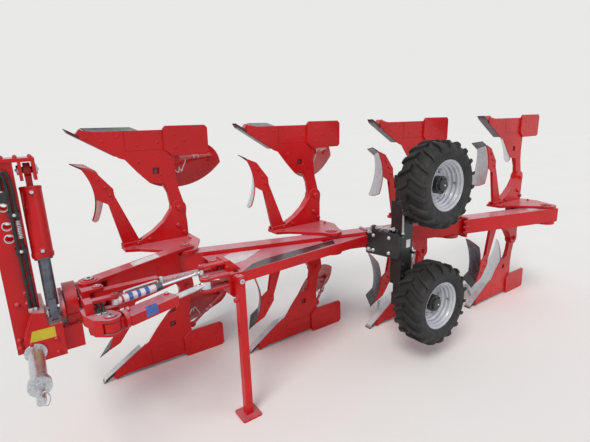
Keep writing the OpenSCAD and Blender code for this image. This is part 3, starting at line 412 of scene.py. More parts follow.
class Piece:
    """One mesh made of closed bodies. Every shape is a loft through rings of points."""

    def __init__(self, name, body, finish, *others):
        self.name = name
        self.body = body
        self.finish = finish
        self.finishes = (finish,) + others
        self.bm = bmesh.new()

    def loft(self, rings, finish=None, caps=True):
        slot = self.finishes.index(finish or self.finish)
        grid = [[self.bm.verts.new((Vector(p) - ORIGIN) * MM) for p in ring] for ring in rings]
        faces = []
        count = len(grid[0])
        for low, high in zip(grid, grid[1:]):
            for k in range(count):
                faces.append(self.bm.faces.new((low[k - 1], low[k], high[k], high[k - 1])))
        if caps:
            faces.append(self.bm.faces.new(list(reversed(grid[0]))))
            faces.append(self.bm.faces.new(grid[-1]))
        for face in faces:
            face.material_index = slot
        return faces

    def turned(self, frame_at, profile, finish=None, count=32):
        """A closed turned body. The profile is (radius, height) along the frame's Z."""
        self.loft([[frame_at @ Vector((x, y, h)) for x, y in circle(r, count)] for r, h in profile], finish)

    def lathe(self, frame_at, section, finish=None, count=32):
        """A turned body with a hole: its closed section of (radius, height) goes round the frame's Z."""
        rings = [[frame_at @ Vector((x, y, h)) for x, y in circle(r, count)] for r, h in section + section[:1]]
        self.loft(rings, finish, False)

    def ring(self, frame_at, outer, inner, low, high, finish=None, count=32, edge=0.8):
        """A washer or collar with broken edges."""
        self.lathe(frame_at, [(inner, low), (outer - edge, low), (outer, low + edge), (outer, high - edge),
                              (outer - edge, high), (inner, high)], finish, count)

    def plate(self, frame_at, outline, low, high, finish=None, edge=1.0):
        """A flat plate whose outer face has a chamfered rim."""
        inner = shrink(outline, edge)
        self.loft([[frame_at @ Vector((x, y, h)) for x, y in points]
                   for points, h in ((outline, low), (outline, high - edge), (inner, high))], finish)

    def block(self, frame_at, half_x, half_y, low, high, finish, edge):
        """A rectangular plate in the middle of its frame."""
        corners = [(-half_x, -half_y), (half_x, -half_y), (half_x, half_y), (-half_x, half_y)]
        self.plate(frame_at, corners, low, high, finish, edge)

    def sticker(self, frame_at, outline, finish, rise=0.7):
        """A blank label or painted patch, sunk a little into its face."""
        self.plate(frame_at, outline, -0.4, rise, finish, 0.3)

    def bolt(self, place, out, size, finish="red", washer=True, stub=3):
        """Hex head or nut on its washer. Size is the thread's diameter and stub what the thread stands out."""
        spot = axes(place, out)
        base = 0.16 * size if washer else 0.0
        if washer:
            self.turned(spot, [(1.05 * size, -1), (1.05 * size, base * 0.7), (size, base)], finish, 24)
        head = base + 0.68 * size
        self.turned(spot, [(0.9 * size, base - 0.5), (0.9 * size, head - 0.12 * size), (0.76 * size, head)],
                    finish, 6)
        if stub:
            self.turned(spot, [(size / 2, head - 1), (size / 2, head + stub - 1), (size / 2 - 1, head + stub)],
                        finish, 16)

    def tube(self, path, radius, finish=None, count=12, smooth=6):
        """A round bar or hose along a path, rounded through its points."""
        points = spline(path, smooth) if smooth else [Vector(p) for p in path]
        rings = []
        side = None
        for k, point in enumerate(points):
            run = (points[min(k + 1, len(points) - 1)] - points[max(k - 1, 0)]).normalized()
            if side is None:
                side = run.orthogonal().normalized()
            side = (side - side.dot(run) * run).normalized()
            other = run.cross(side)
            rings.append([point + side * x + other * y for x, y in circle(radius, count)])
        self.loft(rings, finish)

    def sheet(self, front, back, front_finish=None, back_finish=None):
        """Closed sheet between two grids of points."""
        rows, cols = len(front), len(front[0])
        grids = [[[self.bm.verts.new((Vector(p) - ORIGIN) * MM) for p in row] for row in grid]
                 for grid in (front, back)]
        for grid, finish in zip(grids, (front_finish, back_finish)):
            for i in range(rows - 1):
                for j in range(cols - 1):
                    face = self.bm.faces.new((grid[i][j], grid[i + 1][j], grid[i + 1][j + 1], grid[i][j + 1]))
                    face.material_index = self.finishes.index(finish or self.finish)
        rim = [(i, 0) for i in range(rows)] + [(rows - 1, j) for j in range(1, cols)]
        rim += [(i, cols - 1) for i in range(rows - 2, -1, -1)] + [(0, j) for j in range(cols - 2, 0, -1)]
        for k in range(len(rim)):
            (a, b), (c, d) = rim[k - 1], rim[k]
            face = self.bm.faces.new((grids[0][a][b], grids[0][c][d], grids[1][c][d], grids[1][a][b]))
            face.material_index = self.finishes.index(back_finish or self.finish)

    def done(self, *replaced, angle=35):
        bmesh.ops.recalc_face_normals(self.bm, faces=self.bm.faces)
        mesh = bpy.data.meshes.new(self.name)
        self.bm.to_mesh(mesh)
        self.bm.free()
        piece = bpy.data.objects.new(self.name, mesh)
        for finish in self.finishes:
            mesh.materials.append(FINISH[finish][0])
        bpy.context.scene.collection.objects.link(piece)
        mesh.shade_smooth()
        mesh.set_sharp_from_angle(angle=math.radians(angle))
        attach(piece, self.body)
        if replaced:
            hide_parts(*replaced)
        return piece


def spline(path, steps):
    """Points on a smooth curve through the path."""
    points = [Vector(p) for p in path]
    ends = [2 * points[0] - points[1]] + points + [2 * points[-1] - points[-2]]
    result = []
    for a, b, c, d in zip(ends, ends[1:], ends[2:], ends[3:]):
        for k in range(steps):
            t = k / steps
            result.append(0.5 * (2 * b + (c - a) * t + (2 * a - 5 * b + 4 * c - d) * t * t
                                 + (3 * b - a - 3 * c + d) * t * t * t))
    return result + [points[-1]]


# Soil-working surfaces, on the drawing's curves: x behind the share tip, y right of the landside,
# h over the sole for the moldboards and z over the beam's centre for the skimmers
BOARD_CURVES = (
    ((200, 12.5, 90), (300, 150, 60), (560, 400, 30), (1105, 440, 160)),
    ((345, 12.5, 190), (600, 150, 130), (900, 360, 160), (1200, 460, 215)),
    ((478, 12.5, 385), (640, 110, 480), (970, 350, 505), (1215, 470, 322)),
)
SKIM_CURVES = (
    ((62, 12.5, 640), (95, 60, 632), (130, 110, 620), (165, 155, 600)),
    ((165, 12.5, 470), (185, 60, 470), (205, 120, 465), (230, 170, 455)),
    ((84, 12.5, 300), (95, 80, 270), (115, 140, 255), (140, 190, 262)),
)


SKIM_TIP = (Vector((3, 12.5, 673)), Vector((105, 172, 650)))


def bez3(p, t):
    a, b, c, d = (Vector(q) for q in p)
    return (1 - t) ** 3 * a + 3 * t * (1 - t) ** 2 * b + 3 * t * t * (1 - t) * c + t ** 3 * d


def surface(curves, s, t):
    low, mid, top = (bez3(curve, s) for curve in curves)
    return (1 - t) ** 2 * low + 2 * t * (1 - t) * mid + t * t * top


def normal(curves, s, t, step=0.01):
    """The way to the back of the board, kept level at its landside edge."""
    along = surface(curves, s + step, t) - surface(curves, s - step, t)
    up = surface(curves, s, t + step) - surface(curves, s, t - step)
    n = along.cross(up) if curves is BOARD_CURVES else up.cross(along)
    if s == 0:
        n.y = 0
    return n.normalized()


def row_place(i, point, side):
    """A point of body i over the sole, for its lower side (-1) or its upper one (1)."""
    return Vector(((i - 1) * PITCH + point[0], point[1] - (i - 1) * OFFSET, side * (UNDER_BEAM - point[2])))


def beam_level(i, point, side):
    """A point of body i with its height given over the beam's centre plane of the upper side."""
    return Vector(((i - 1) * PITCH + point[0], point[1] - (i - 1) * OFFSET, side * point[2]))


BOARD_ROWS, BOARD_COLS = 36, 18
BOARD_BOLTS = ((0.04, 0.3), (0.04, 0.75), (0.18, 0.25), (0.2, 0.62), (0.32, 0.45), (0.86, 0.5), (0.86, 0.72))
SHIN_END = 0.1
SEAM = 0.004


def board_piece(i):
    """Both moldboards of a row: shin and board apart, steel in front and red behind, with their stays."""
    piece = Piece("moldboards_row_%d" % i, "row_%d" % i, "red", "board", "dark", "zinc")
    for side in SIDES:
        for s0, s1, rows in ((0.0, SHIN_END - SEAM, 5), (SHIN_END, 1.0, BOARD_ROWS - 5)):
            front, back = [], []
            for a in range(rows + 1):
                s = s0 + (s1 - s0) * a / rows
                cells = [(surface(BOARD_CURVES, s, b / BOARD_COLS), normal(BOARD_CURVES, s, b / BOARD_COLS))
                         for b in range(BOARD_COLS + 1)]
                front.append([row_place(i, p, side) for p, n in cells])
                back.append([row_place(i, p + BOARD_T * n, side) for p, n in cells])
            piece.sheet(front, back, "board", "red")
        for s, t in BOARD_BOLTS:
            point, away = surface(BOARD_CURVES, s, t), normal(BOARD_CURVES, s, t)
            face = row_place(i, point, side)
            out = row_place(i, point - away, side) - face
            piece.turned(axes(face, out), [(12, -2), (12, 0.2), (10.5, 0.9)], "zinc", 20)
            piece.turned(axes(face, out), [(4.5, 0.4), (4.5, 1.1)], "dark", 4)
            if s > 0.1:
                piece.bolt(face - out.normalized() * BOARD_T, -out, 11, stub=5)
        point, away = surface(BOARD_CURVES, 0.9, 0.62), normal(BOARD_CURVES, 0.9, 0.62)
        weld, near, off = (row_place(i, point + (BOARD_T + d) * away, side) for d in (-2, 12, 20))
        pad = row_place(i, (692, LEG_Y[1] + 0.3, 232), side)
        piece.turned(axes(weld, off - weld), [(22, 0), (22, 18), (19, 22)], "red", 24)
        piece.tube([pad + Vector((0, 10, 0)), near], 12, "red", 20, 0)
        piece.turned(axes(pad, (0, 1, 0)), [(24, 0), (24, 13), (21, 16)], "red", 24)
        piece.bolt(pad + Vector((0, 15, 0)), (0, 1, 0), 16, "zinc", stub=6)
        middle = pad.lerp(near, 0.5)
        run = (near - pad).normalized()
        piece.turned(axes(middle - run * 30, run), [(15, 0), (17, 2), (17, 58), (15, 60)], "red", 6)
        for end in (-1, 1):
            piece.turned(axes(middle + run * (36 * end - 5), run), [(17, 0), (17, 10)], "zinc", 6)
    piece.done("moldboards_%d" % i)


def skimmer_faces(i):
    """Steel faces in front of the skimmers' small boards, and the bolts of skimmer and arm."""
    piece = Piece("skimmer_faces_%d" % i, "row_%d" % i, "board", "dark", "red", "black")
    lift = 1.2
    for side in SIDES:
        front, back = [], []
        for a in range(7):
            cells = [(surface(SKIM_CURVES, a / 6, b / 12), normal(SKIM_CURVES, a / 6, b / 12))
                     for b in range(13)]
            front.append([beam_level(i, p - lift * n, side) for p, n in cells])
            back.append([beam_level(i, p + 3 * n, side) for p, n in cells])
        steel = "board" if side > 0 else "dark"
        piece.sheet(front, back, steel, "red")
        # Black cover round the skimmer's share, from its cutting edge to the board
        face, under = [], []
        for a in range(6):
            low = SKIM_TIP[0].lerp(SKIM_TIP[1], a / 5) + Vector((-1.5, 0, 0))
            high = surface(SKIM_CURVES, a / 5, 0.02)
            spread = Vector((0, 3 * a / 5 - 1.5, 0))
            face.append([beam_level(i, p + spread - Vector((0, 0, 1.5)), side) for p in (low, high)])
            under.append([beam_level(i, p + spread + Vector((0, 0, down)), side)
                          for p, down in ((low, 4.5), (high, 10))])
        piece.sheet(face, under, "black", "black")
        for s, t in ((0.2, 0.15), (0.55, 0.15), (0.25, 0.45), (0.3, 0.7)):
            point, away = surface(SKIM_CURVES, s, t), normal(SKIM_CURVES, s, t)
            face = beam_level(i, point - lift * away, side)
            out = beam_level(i, point - (lift + 1) * away, side) - face
            piece.turned(axes(face, out), [(9, -1), (9, 0.2), (8, 0.8)], steel, 16)
            piece.turned(axes(face, out), [(3.5, 0.3), (3.5, 1.0)], "dark", 4)
        left = LEG_Y[0]
        for x, z, size in ((186, 505, 10), (212, 452, 10), (150, 560, 9)):
            piece.bolt(beam_level(i, (x, left, z), side), LEFT, size)
        for x, z in ((262, 290), (238, 345), (214, 400)):
            piece.turned(axes(beam_level(i, (x, left + 0.5, z), side), LEFT), [(8, -1), (8, 0.6)], "red", 20)
    piece.done()


LEG_BOLTS = ((120, 62), (205, 88), (300, 60), (420, 120), (420, 235), (560, 110), (560, 330), (652, 300))


def row_fittings(i):
    """Bolts, pins, clips and oil points of one row."""
    piece = Piece("row_fittings_%d" % i, "row_%d" % i, "zinc", "red", "dark")
    for side in SIDES:
        leg = LEG_Y[0]
        for x, h in LEG_BOLTS:
            spot = axes(row_place(i, (x, leg, h), side), LEFT)
            piece.turned(spot, [(11, -1), (11, 0.4), (9.5, 1.4)], "red", 20)
            piece.turned(spot, [(4, 0), (4, 1.8)], "red", 4)
        for x, h in ((680, 60), (680, 150), (745, 105)):
            spot = axes(row_place(i, (x, HEEL_Y, h), side), LEFT)
            piece.turned(spot, [(12, -1), (12, 0.6), (10, 1.6)], "red", 20)
            piece.turned(spot, [(4.5, 0), (4.5, 2)], "red", 4)
        piece.bolt(row_place(i, (528, leg + 21, 305), side), LEFT, 13, "dark", stub=2)
        for x, h in ((648, 545), (640, 610)):
            piece.bolt(row_place(i, (x, leg, h), side), LEFT, 12)
        # Pivot and shear bolt of the leg between its cheeks
        for x, z, size in ((658, 307, 22), (640, 178, 18), (684, 122, 18), (430, 112, 14), (350, 96, 12)):
            for y, out in ((CHEEK_Y[0], -1), (CHEEK_Y[1], 1)):
                if size > 15 or out < 0:
                    piece.bolt(beam_level(i, (x, y, z), side), (0, out, 0), size,
                               stub=6 if out > 0 else 0)
        # Bent wire spring between the leg and the stay
        wire = [(650, 30, 300), (664, 44, 304), (700, 76, 334), (722, 106, 334), (730, 116, 304),
                (746, 124, 336), (766, 132, 306), (786, 132, 268), (788, 130, 246)]
        piece.tube([row_place(i, p, side) for p in wire], 4, "zinc", 10)
        # Pin of the carrier on the beam, with its washer, and the pin of the tie bar
        pivot = beam_level(i, (PIVOT[0], PIVOT[1], 0), side)
        top = PIN_TOP if i == 1 else CARRIER_TOP + 10
        spot = axes((pivot.x, pivot.y, side * top), (0, 0, side), REAR)
        if i > 1:
            boss = axes((pivot.x, pivot.y, side * CARRIER_TOP), (0, 0, side), REAR)
            piece.ring(boss, 44, 25.6, -0.2, 7, "red")
            piece.ring(spot, 22, 9, -0.2, 2.5, "zinc", 28)
            piece.bolt(spot @ Vector((0, 0, -0.5)), (0, 0, side), 8, "dark", False, 0)
        for x, y in ((300, 20), (300, -70), (690, 0), (690, -90), (500, 30)):
            place = beam_level(i, (x, y, CARRIER_TOP), side)
            piece.bolt(place, (0, 0, side), 12, stub=4)
    piece.done()


for row in (1, 2, 3, 4):
    board_piece(row)
    skimmer_faces(row)
    row_fittings(row)


# Headstock


def member(front, way):
    """Local frame at the front pin of a member, with its X along the member."""
    return Matrix.Translation(front) @ Matrix.Rotation(math.atan2(way[1], way[0]), 4, "Z")


def pin_cap(piece, place, side):
    """Washer and screw on the end of an upright pin."""
    spot = axes((place[0], place[1], side * PIN_TOP), (0, 0, side), REAR)
    piece.ring(spot, 22, 9, -0.3, 3, "zinc")
    piece.turned(spot, [(8, -0.3), (8, 5), (6, 6.5)], "dark", 6)


def headstock_fittings():
    piece = Piece("headstock_fittings", "headstock", "zinc", "red")
    for out in (-1, 1):
        y = AXIS_Y + out * TOWER_HALF
        for z in (390, 450, 540):
            piece.ring(axes((-350, y, z), (0, out, 0)), 22, 17, -0.2, 2.5, "zinc")
        for x, z in ((-392, -165), (-392, -125), (-330, 55), (-372, 60), (-330, 110)):
            piece.bolt((x, y, z), (0, out, 0), 14, stub=4)
    # Pin of the turnover cylinder through the bracket's lugs
    for x, out in ((-265, -1), (-195, 1)):
        spot = axes((x, AXIS_Y, TURN_PIN[2]), (out, 0, 0))
        piece.turned(spot, [(24, -0.5), (24, 6), (21, 8)], "zinc")
        piece.turned(spot, [(7, 7), (7, 12), (5, 14)], "zinc", 6)
    for y in (-48, 48):
        for x in (-325, -270, -210):
            piece.bolt((x, AXIS_Y + y, 760), UP, 10)
    # Bolt circle of the shaft's bearing
    for k in range(10):
        angle = math.radians(36 * k + 18)
        piece.bolt((-116, AXIS_Y + 90 * math.cos(angle), 90 * math.sin(angle)), REAR, 6, "zinc", False, 0)
    for y in (-95, 95):
        for x in (-190, -130):
            piece.bolt((x, AXIS_Y + y, -100), UP, 12)
    # Spring pins at the ends of the lower link pins
    for side in SIDES:
        end = AXIS_Y + side * (482.5 + 104)
        x, z = AXLE
        piece.tube([(x, end, z + 24), (x, end, z - 24)], 5, "zinc", 16, 0)
        loop = [(0, 22), (18, 32), (30, 0), (18, -32), (0, -22)]
        piece.tube([(x + dx, end, z + dz) for dx, dz in loop], 2.5, "zinc", 8)
        piece.ring(axes((x, AXIS_Y + side * FRAME_HALF, z), (0, side, 0)), 48, 34.2, 0, 10, "zinc")
        for x, z in ((-360, -200), (-240, -200), (-240, -130), (-345, -125)):
            piece.bolt((x, AXIS_Y + side * FRAME_HALF, z), (0, side, 0), 12)
    piece.done()
    label = Piece("headstock_label", "headstock", "yellow")
    corners = [(-351, -116), (-239, -116), (-239, -60), (-334, -60)]
    spot = Matrix.Translation((0, AXIS_Y - FRAME_HALF, 0)) @ Z_LEFT
    label.plate(spot, corners, -0.5, 0.8, "yellow", 0.4)
    label.done()


def headstock_hoses():
    """Two hoses that run down the tower to the turnover. Those that lead away to the tractor are left out."""
    piece = Piece("headstock_hoses", "headstock", "hose", "zinc", "black")
    face = AXIS_Y - TOWER_HALF
    for shift in (0, -20):
        path = [(-346, -622, 606), (-344, -626, 664), (-332, -630, 700), (-314, -630, 698), (-304, -630, 640),
                (-304, -628, 520), (-304, -626, 400), (-302, -626, 280), (-302, -626, 160), (-302, -626, 22)]
        piece.tube([(x + shift, y, z) for x, y, z in path], 8, "hose", 20)
        piece.turned(axes((-346 + shift, -622, 592), UP), [(11, 0), (11, 26), (9, 29)], "zinc", 6)
        piece.turned(axes((-302 + shift, -626, 20), UP), [(11, 0), (11, 18), (9, 21)], "zinc", 6)
    for k in range(11):
        piece.ring(axes((-304, -627.5, 392 + 8 * k), UP), 10.5, 7.5, 0, 5.5, "zinc", 24, 1.8)
    piece.block(axes((-356, face, 590), LEFT), 24, 30, -1, 40, "black", 3)
    for z in (330, 505):
        piece.block(axes((-313, face, z), LEFT), 12, 24, -1, 42, "black", 3)
        piece.bolt((-313, face - 42, z), LEFT, 7, "zinc", stub=0)
    piece.done()


def turnover_fittings():
    tilt = math.atan(CRANK / TURN_PIN[2])
    frame_at = Matrix.Translation(TURN_PIN) @ Matrix.Rotation(-tilt, 4, "X")
    piece = Piece("turnover_barrel_fittings", "turnover_cylinder", "dark", "red", "zinc")
    piece.ring(frame_at, 40, 28.2, -440, -429.8, "dark")
    piece.ring(frame_at, 48.5, 45.5, -424, -404, "red")
    piece.ring(frame_at, 48, 45.5, -92, -84, "red")
    for z in (-112, -395):
        port = frame_at @ Matrix.Translation((0, -44, z)) @ Z_LEFT
        piece.turned(port, [(15, -6), (15, 12), (13, 14)], "red", 24)
        piece.turned(port, [(10, 12), (10, 21), (8.5, 23)], "zinc", 6)
    piece.done()
    eye = Piece("turnover_rod_fittings", "turnover_piston", "zinc", "red")
    low = frame_at @ Matrix.Translation((0, 0, -math.hypot(CRANK, TURN_PIN[2])))
    cap = low @ Matrix.Translation((-24, 0, 0)) @ Matrix.Rotation(-math.pi / 2, 4, "Y")
    eye.ring(cap, 27, 8, -0.5, 4, "zinc")
    eye.turned(cap, [(9, 0), (9, 9), (7.5, 10.5)], "zinc", 6)
    eye.done()


def rotor_fittings():
    piece = Piece("rotor_fittings", "rotor", "zinc", "red", "dark")
    for side in SIDES:
        pin_cap(piece, MAIN_LINK[0], side)
        piece.turned(axes((-30, -700, side * 105.3), (0, 0, side)), [(7, -0.5), (7, 4), (5, 6)], "zinc", 12)
    for y in (-760, -800):
        piece.bolt((-88, y, 47), UP, 12)
    lug = axes((-25, -985, 53), UP)
    piece.ring(lug, 20, 7, -0.3, 2.5, "zinc")
    piece.turned(lug, [(6.5, -0.3), (6.5, 4), (5, 5.5)], "dark", 6)
    piece.turned(axes((20, -880, 110), UP), [(6, -0.5), (6, 3), (4.5, 4.5)], "dark", 6)
    piece.done()
    # Valve block and hoses that stay on the yoke
    block = Piece("yoke_valve_block", "rotor", "black", "zinc")
    outline = [(-112, -930), (-58, -918), (-62, -872), (-112, -880)]
    block.plate(Matrix.Identity(4), outline, -46, -8.5, "black", 2)
    block.plate(MIRROR, outline, 8.5, 48, "black", 3)
    for x, y in ((-98, -905), (-76, -898)):
        block.turned(axes((x, y, -48), (0, 0, -1)), [(8, -1), (8, 7), (6.5, 8)], "zinc", 6)
    block.done()
    hoses = Piece("yoke_hoses", "rotor", "hose", "zinc")
    for shift in (0, 20):
        path = [(-82 + shift * 0.4, -752 - shift * 0.3, 48), (-80 + shift * 0.4, -760, 64),
                (-70 + shift, -800, 71), (-62 + shift, -860, 70), (-62 + shift, -915, 68),
                (-66 + shift * 1.2, -936, 60), (-66 + shift * 1.2, -940, 47)]
        hoses.tube(path, 7.5, "hose", 14)
        for x, y, z in (path[0], path[-1]):
            hoses.turned(axes((x, y, 46.8), UP), [(11, 0), (11, 8), (9.5, 10)], "zinc", 6)
    hoses.done()


def linkage_fittings():
    link = member(*MAIN_LINK)
    label = Piece("link_label", "link", "pale", "red")
    label.sticker(link, [(250, -36), (440, -36), (470, 34), (280, 34)], "pale")
    for x in (0, 691.5):
        label.ring(link @ Matrix.Translation((x, 0, 0)), 42, 26, -0.2, 5, "red")
    label.done()

    barrel = member(*WIDTH_CYLINDER)
    run = barrel.to_3x3() @ Vector(REAR)
    piece = Piece("width_barrel_fittings", "width_cylinder", "blue", "red", "dark", "zinc")
    face = barrel @ Matrix.Translation((0, -50, 0)) @ Z_LEFT
    piece.sticker(barrel @ Matrix.Translation((0, 0, 25)), [(150, -49.4), (214, -49.4), (226, -18), (162, -18)],
                "blue", 0.6)
    piece.sticker(face, [(150, -16), (214, -16), (214, 24.4), (150, 24.4)], "blue", 0.6)
    gland = barrel @ Matrix.Translation((340, 0, 0)) @ Z_REAR
    piece.ring(gland, 23, 16.6, -0.3, 7, "dark")
    for y, z in ((-36, 12), (-36, -12), (36, 12), (36, -12)):
        piece.bolt(barrel @ Vector((340, y, z)), run, 9, stub=2)
    for x in (96, 318):
        port = barrel @ Matrix.Translation((x, 22, 25))
        piece.turned(port, [(13, -1), (13, 7), (11, 9)], "red", 24)
        piece.turned(port, [(9, 8), (9, 15), (7.5, 17)], "zinc", 6)
    piece.done()

    memory = member(*MEMORY_CYLINDER)
    axle = memory @ Z_REAR
    piece = Piece("memory_barrel_fittings", "memory_cylinder", "blue", "dark", "zinc", "red")
    for start, end in ((60, 82), (104, 122), (146, 168)):
        piece.ring(axle, 20.7, 19.6, start, end, "blue", 40)
    piece.ring(axle, 22.5, 19.5, 206, 240.5, "dark", 40)
    piece.ring(axle, 22.5, 19.5, 24, 34, "red", 40)
    pipe = [(46, 0, 19), (46, 0, 32), (70, 0, 36), (200, 0, 36), (222, 0, 32), (224, 0, 19)]
    piece.tube([memory @ Vector(p) for p in pipe], 5, "zinc", 12)
    piece.done()
    ends = Piece("memory_rod_fittings", "memory_piston", "zinc")
    tip = memory @ Matrix.Translation((math.hypot(*MEMORY_CYLINDER[1]) - 44, 0, 0)) @ Z_REAR
    ends.turned(tip, [(12.5, 0), (14, 1.5), (14, 12.5), (12.5, 14)], "zinc", 6)
    ends.done()

    screw = Piece("offset_screw", "offset_link", "zinc")
    run = member(*OFFSET_LINK) @ Z_REAR
    for k in range(26):
        screw.ring(run @ Matrix.Translation((0, 0, 330 + 8 * k)), 19.5, 16.6, 0, 4.5, "zinc", 28, 1.6)
    screw.turned(run, [(23, 306), (26, 309), (26, 325), (23, 328)], "zinc", 6)
    screw.done()


def beam_fittings():
    piece = Piece("beam_fittings", "beam", "zinc", "red", "dark", "black")
    beam = Matrix.Translation((PIVOT[0], PIVOT[1], 0)) @ Matrix.Rotation(-BEAM_ANGLE, 4, "Z")
    for side in SIDES:
        pin_cap(piece, PIVOT, side)
        # Forks of the three rear pins
        for x, y, z in ((512, -800, 51), (500, -770, 110), (600, -715, 105)):
            if side > 0:
                piece.ring(axes((x, y, z), UP), 15 if z == 51 else 11, 5, -0.3, 2, "zinc", 24)
                piece.turned(axes((x, y, z), UP), [(4.8, -0.3), (4.8, 3), (4, 4)], "dark", 6)
        # Flange of the rear sleeve
        for z in (45, -45, 0):
            for u, out in ((SLEEVE_U + 20.2, 1), (SLEEVE_U + 0.2, -1)):
                if side == out:
                    piece.bolt(beam @ Vector((u, -86, z)), beam.to_3x3() @ Vector((out, 0, 0)), 13, stub=4)
        for v in (-60, -22):
            for u, out in ((SLEEVE_U + 20.2, 1), (SLEEVE_U + 0.2, -1)):
                piece.bolt(beam @ Vector((u, v, side * 71)), beam.to_3x3() @ Vector((out, 0, 0)), 13, stub=4)
    # Two clamps that hold the wheel bracket on the beam
    for u in (1338, 1440):
        for side in SIDES:
            bar = [(-112, 70), (-40, 69), (40, 69), (60, 66), (69.5, 54), (69.5, 20), (69.5, 0)]
            piece.tube([beam @ Vector((u, v, side * z)) for v, z in bar], 8.5, "zinc", 14)
        for side in SIDES:
            spot = axes(beam @ Vector((u, -78, side * 70)), beam.to_3x3() @ Vector(LEFT))
            piece.turned(spot, [(19, 0), (19, 4)], "zinc", 24)
            piece.turned(spot, [(15, 4), (15, 17), (13, 19)], "zinc", 6)
    piece.turned(axes((698, -806, 37), UP), [(15, -6), (15, 3), (12, 5)], "black", 24)
    for x, y in ((690, -700), (676, -640)):
        piece.bolt((x, y, WEB_TOP), UP, 12)
    for y in (-790, -720):
        piece.bolt((655, y, 66), (-1, 0, 0), 11, stub=2)
    piece.ring(axes((685, -912, 8), LEFT), 15, 5, -0.3, 2.2, "zinc", 24)
    piece.done()

    films_and_sheen = Piece("beam_films_and_sheen", "beam", "pale", "night")
    patch = [(690, -600), (760, -662), (850, -640), (1040, -508), (840, -452), (700, -520)]
    films_and_sheen.sticker(Matrix.Translation((0, 0, WEB_TOP)), patch, "pale")
    strip = [(732, -825), (902, -811), (1515, -750), (1560, -672), (962, -708), (846, -743)]
    films_and_sheen.sticker(Matrix.Translation((0, 0, BRACE_TOP)), strip, "night")
    # Painted sky reflection: a pale patch on the beam's top
    patch = [(2960, -40), (3060, -40), (3080, 30), (2980, 30)]
    films_and_sheen.sticker(beam @ Matrix.Translation((0, 0, BEAM_TOP)), patch, "pale")
    films_and_sheen.done()


def beam_left(x):
    """Left face of the beam at x."""
    return PIVOT[1] - (x - PIVOT[0]) * math.tan(BEAM_ANGLE) - BEAM_W / 2 / math.cos(BEAM_ANGLE)


def mast_fittings():
    piece = Piece("mast_fittings", "beam", "zinc", "black", "pale")
    # Black shoe that carries the bracket forwards along the beam
    shoe = [(1834, beam_left(1834) - 1), (1914.5, beam_left(1914) - 1), (1914.5, MAST_FACE + 2),
            (1886, MAST_FACE + 6)]
    piece.plate(Matrix.Identity(4), shoe, 0, 84, "black", 4)
    piece.plate(MIRROR, shoe, 0, 104, "black", 4)
    for y, z in ((-800, 45), (-930, 45), (-800, -70), (-930, -70)):
        x = shoe[0][0] + (shoe[3][0] - shoe[0][0]) * (y - shoe[0][1]) / (shoe[3][1] - shoe[0][1])
        piece.bolt((x, y, z), (shoe[3][1] - shoe[0][1], shoe[0][0] - shoe[3][0], 0), 13, "zinc")
    bar = [Vector((1868, -786, 100)), Vector((1918, -966, 106))]
    run = (bar[1] - bar[0]).normalized()
    piece.tube(bar, 10, "zinc", 20, 0)
    for distance in (18, 60, 110, 152):
        piece.turned(axes(bar[0] + run * distance, run), [(15, 0), (17, 2), (17, 16), (15, 18)], "zinc", 6)
    for point in bar:
        piece.turned(axes((point.x, point.y, 80), UP), [(16, 0), (16, 34), (13, 37)], "black", 24)
    for x, z0, z1, side in ((1916, 62, 292, 1), (2044, -292, -62, -1)):
        piece.tube([(x, MAST_FACE - 10, z0), (x, MAST_FACE - 10, z1)], 7, "zinc", 20, 0)
        count = int((z1 - z0) / 8)
        for k in range(count):
            piece.ring(axes((x, MAST_FACE - 10, z0 + 8 * k), UP), 9, 6.8, 0, 4.5, "zinc", 24, 1.6)
        for z in (z0 + 14, z1 - 14):
            piece.block(axes((x, MAST_FACE + 0.5, z), LEFT), 9, 14, -1, 21, "black", 2)
            piece.turned(axes((x, MAST_FACE - 10, z + 9), UP), [(12, 0), (12, 9), (10.5, 11)], "zinc", 6)
    for x, z in ((1935, -240), (1935, -150), (2015, 150), (2015, 240)):
        piece.bolt((x, MAST_FACE, z), LEFT, 12, "black")
    for z in (-55, 0, 55):
        piece.bolt((2035, -880, z), REAR, 14, "zinc")
    for x in (1945, 2005):
        piece.bolt((x, MAST_FACE, 291), LEFT, 10, "zinc", stub=2)
    piece.sticker(axes((1990, MAST_FACE, 0), LEFT), [(-30, -22), (30, -22), (30, 22), (-30, 22)], "pale")
    piece.done()


headstock_fittings()
headstock_hoses()
turnover_fittings()
rotor_fittings()
linkage_fittings()
beam_fittings()
mast_fittings()


# Wheels

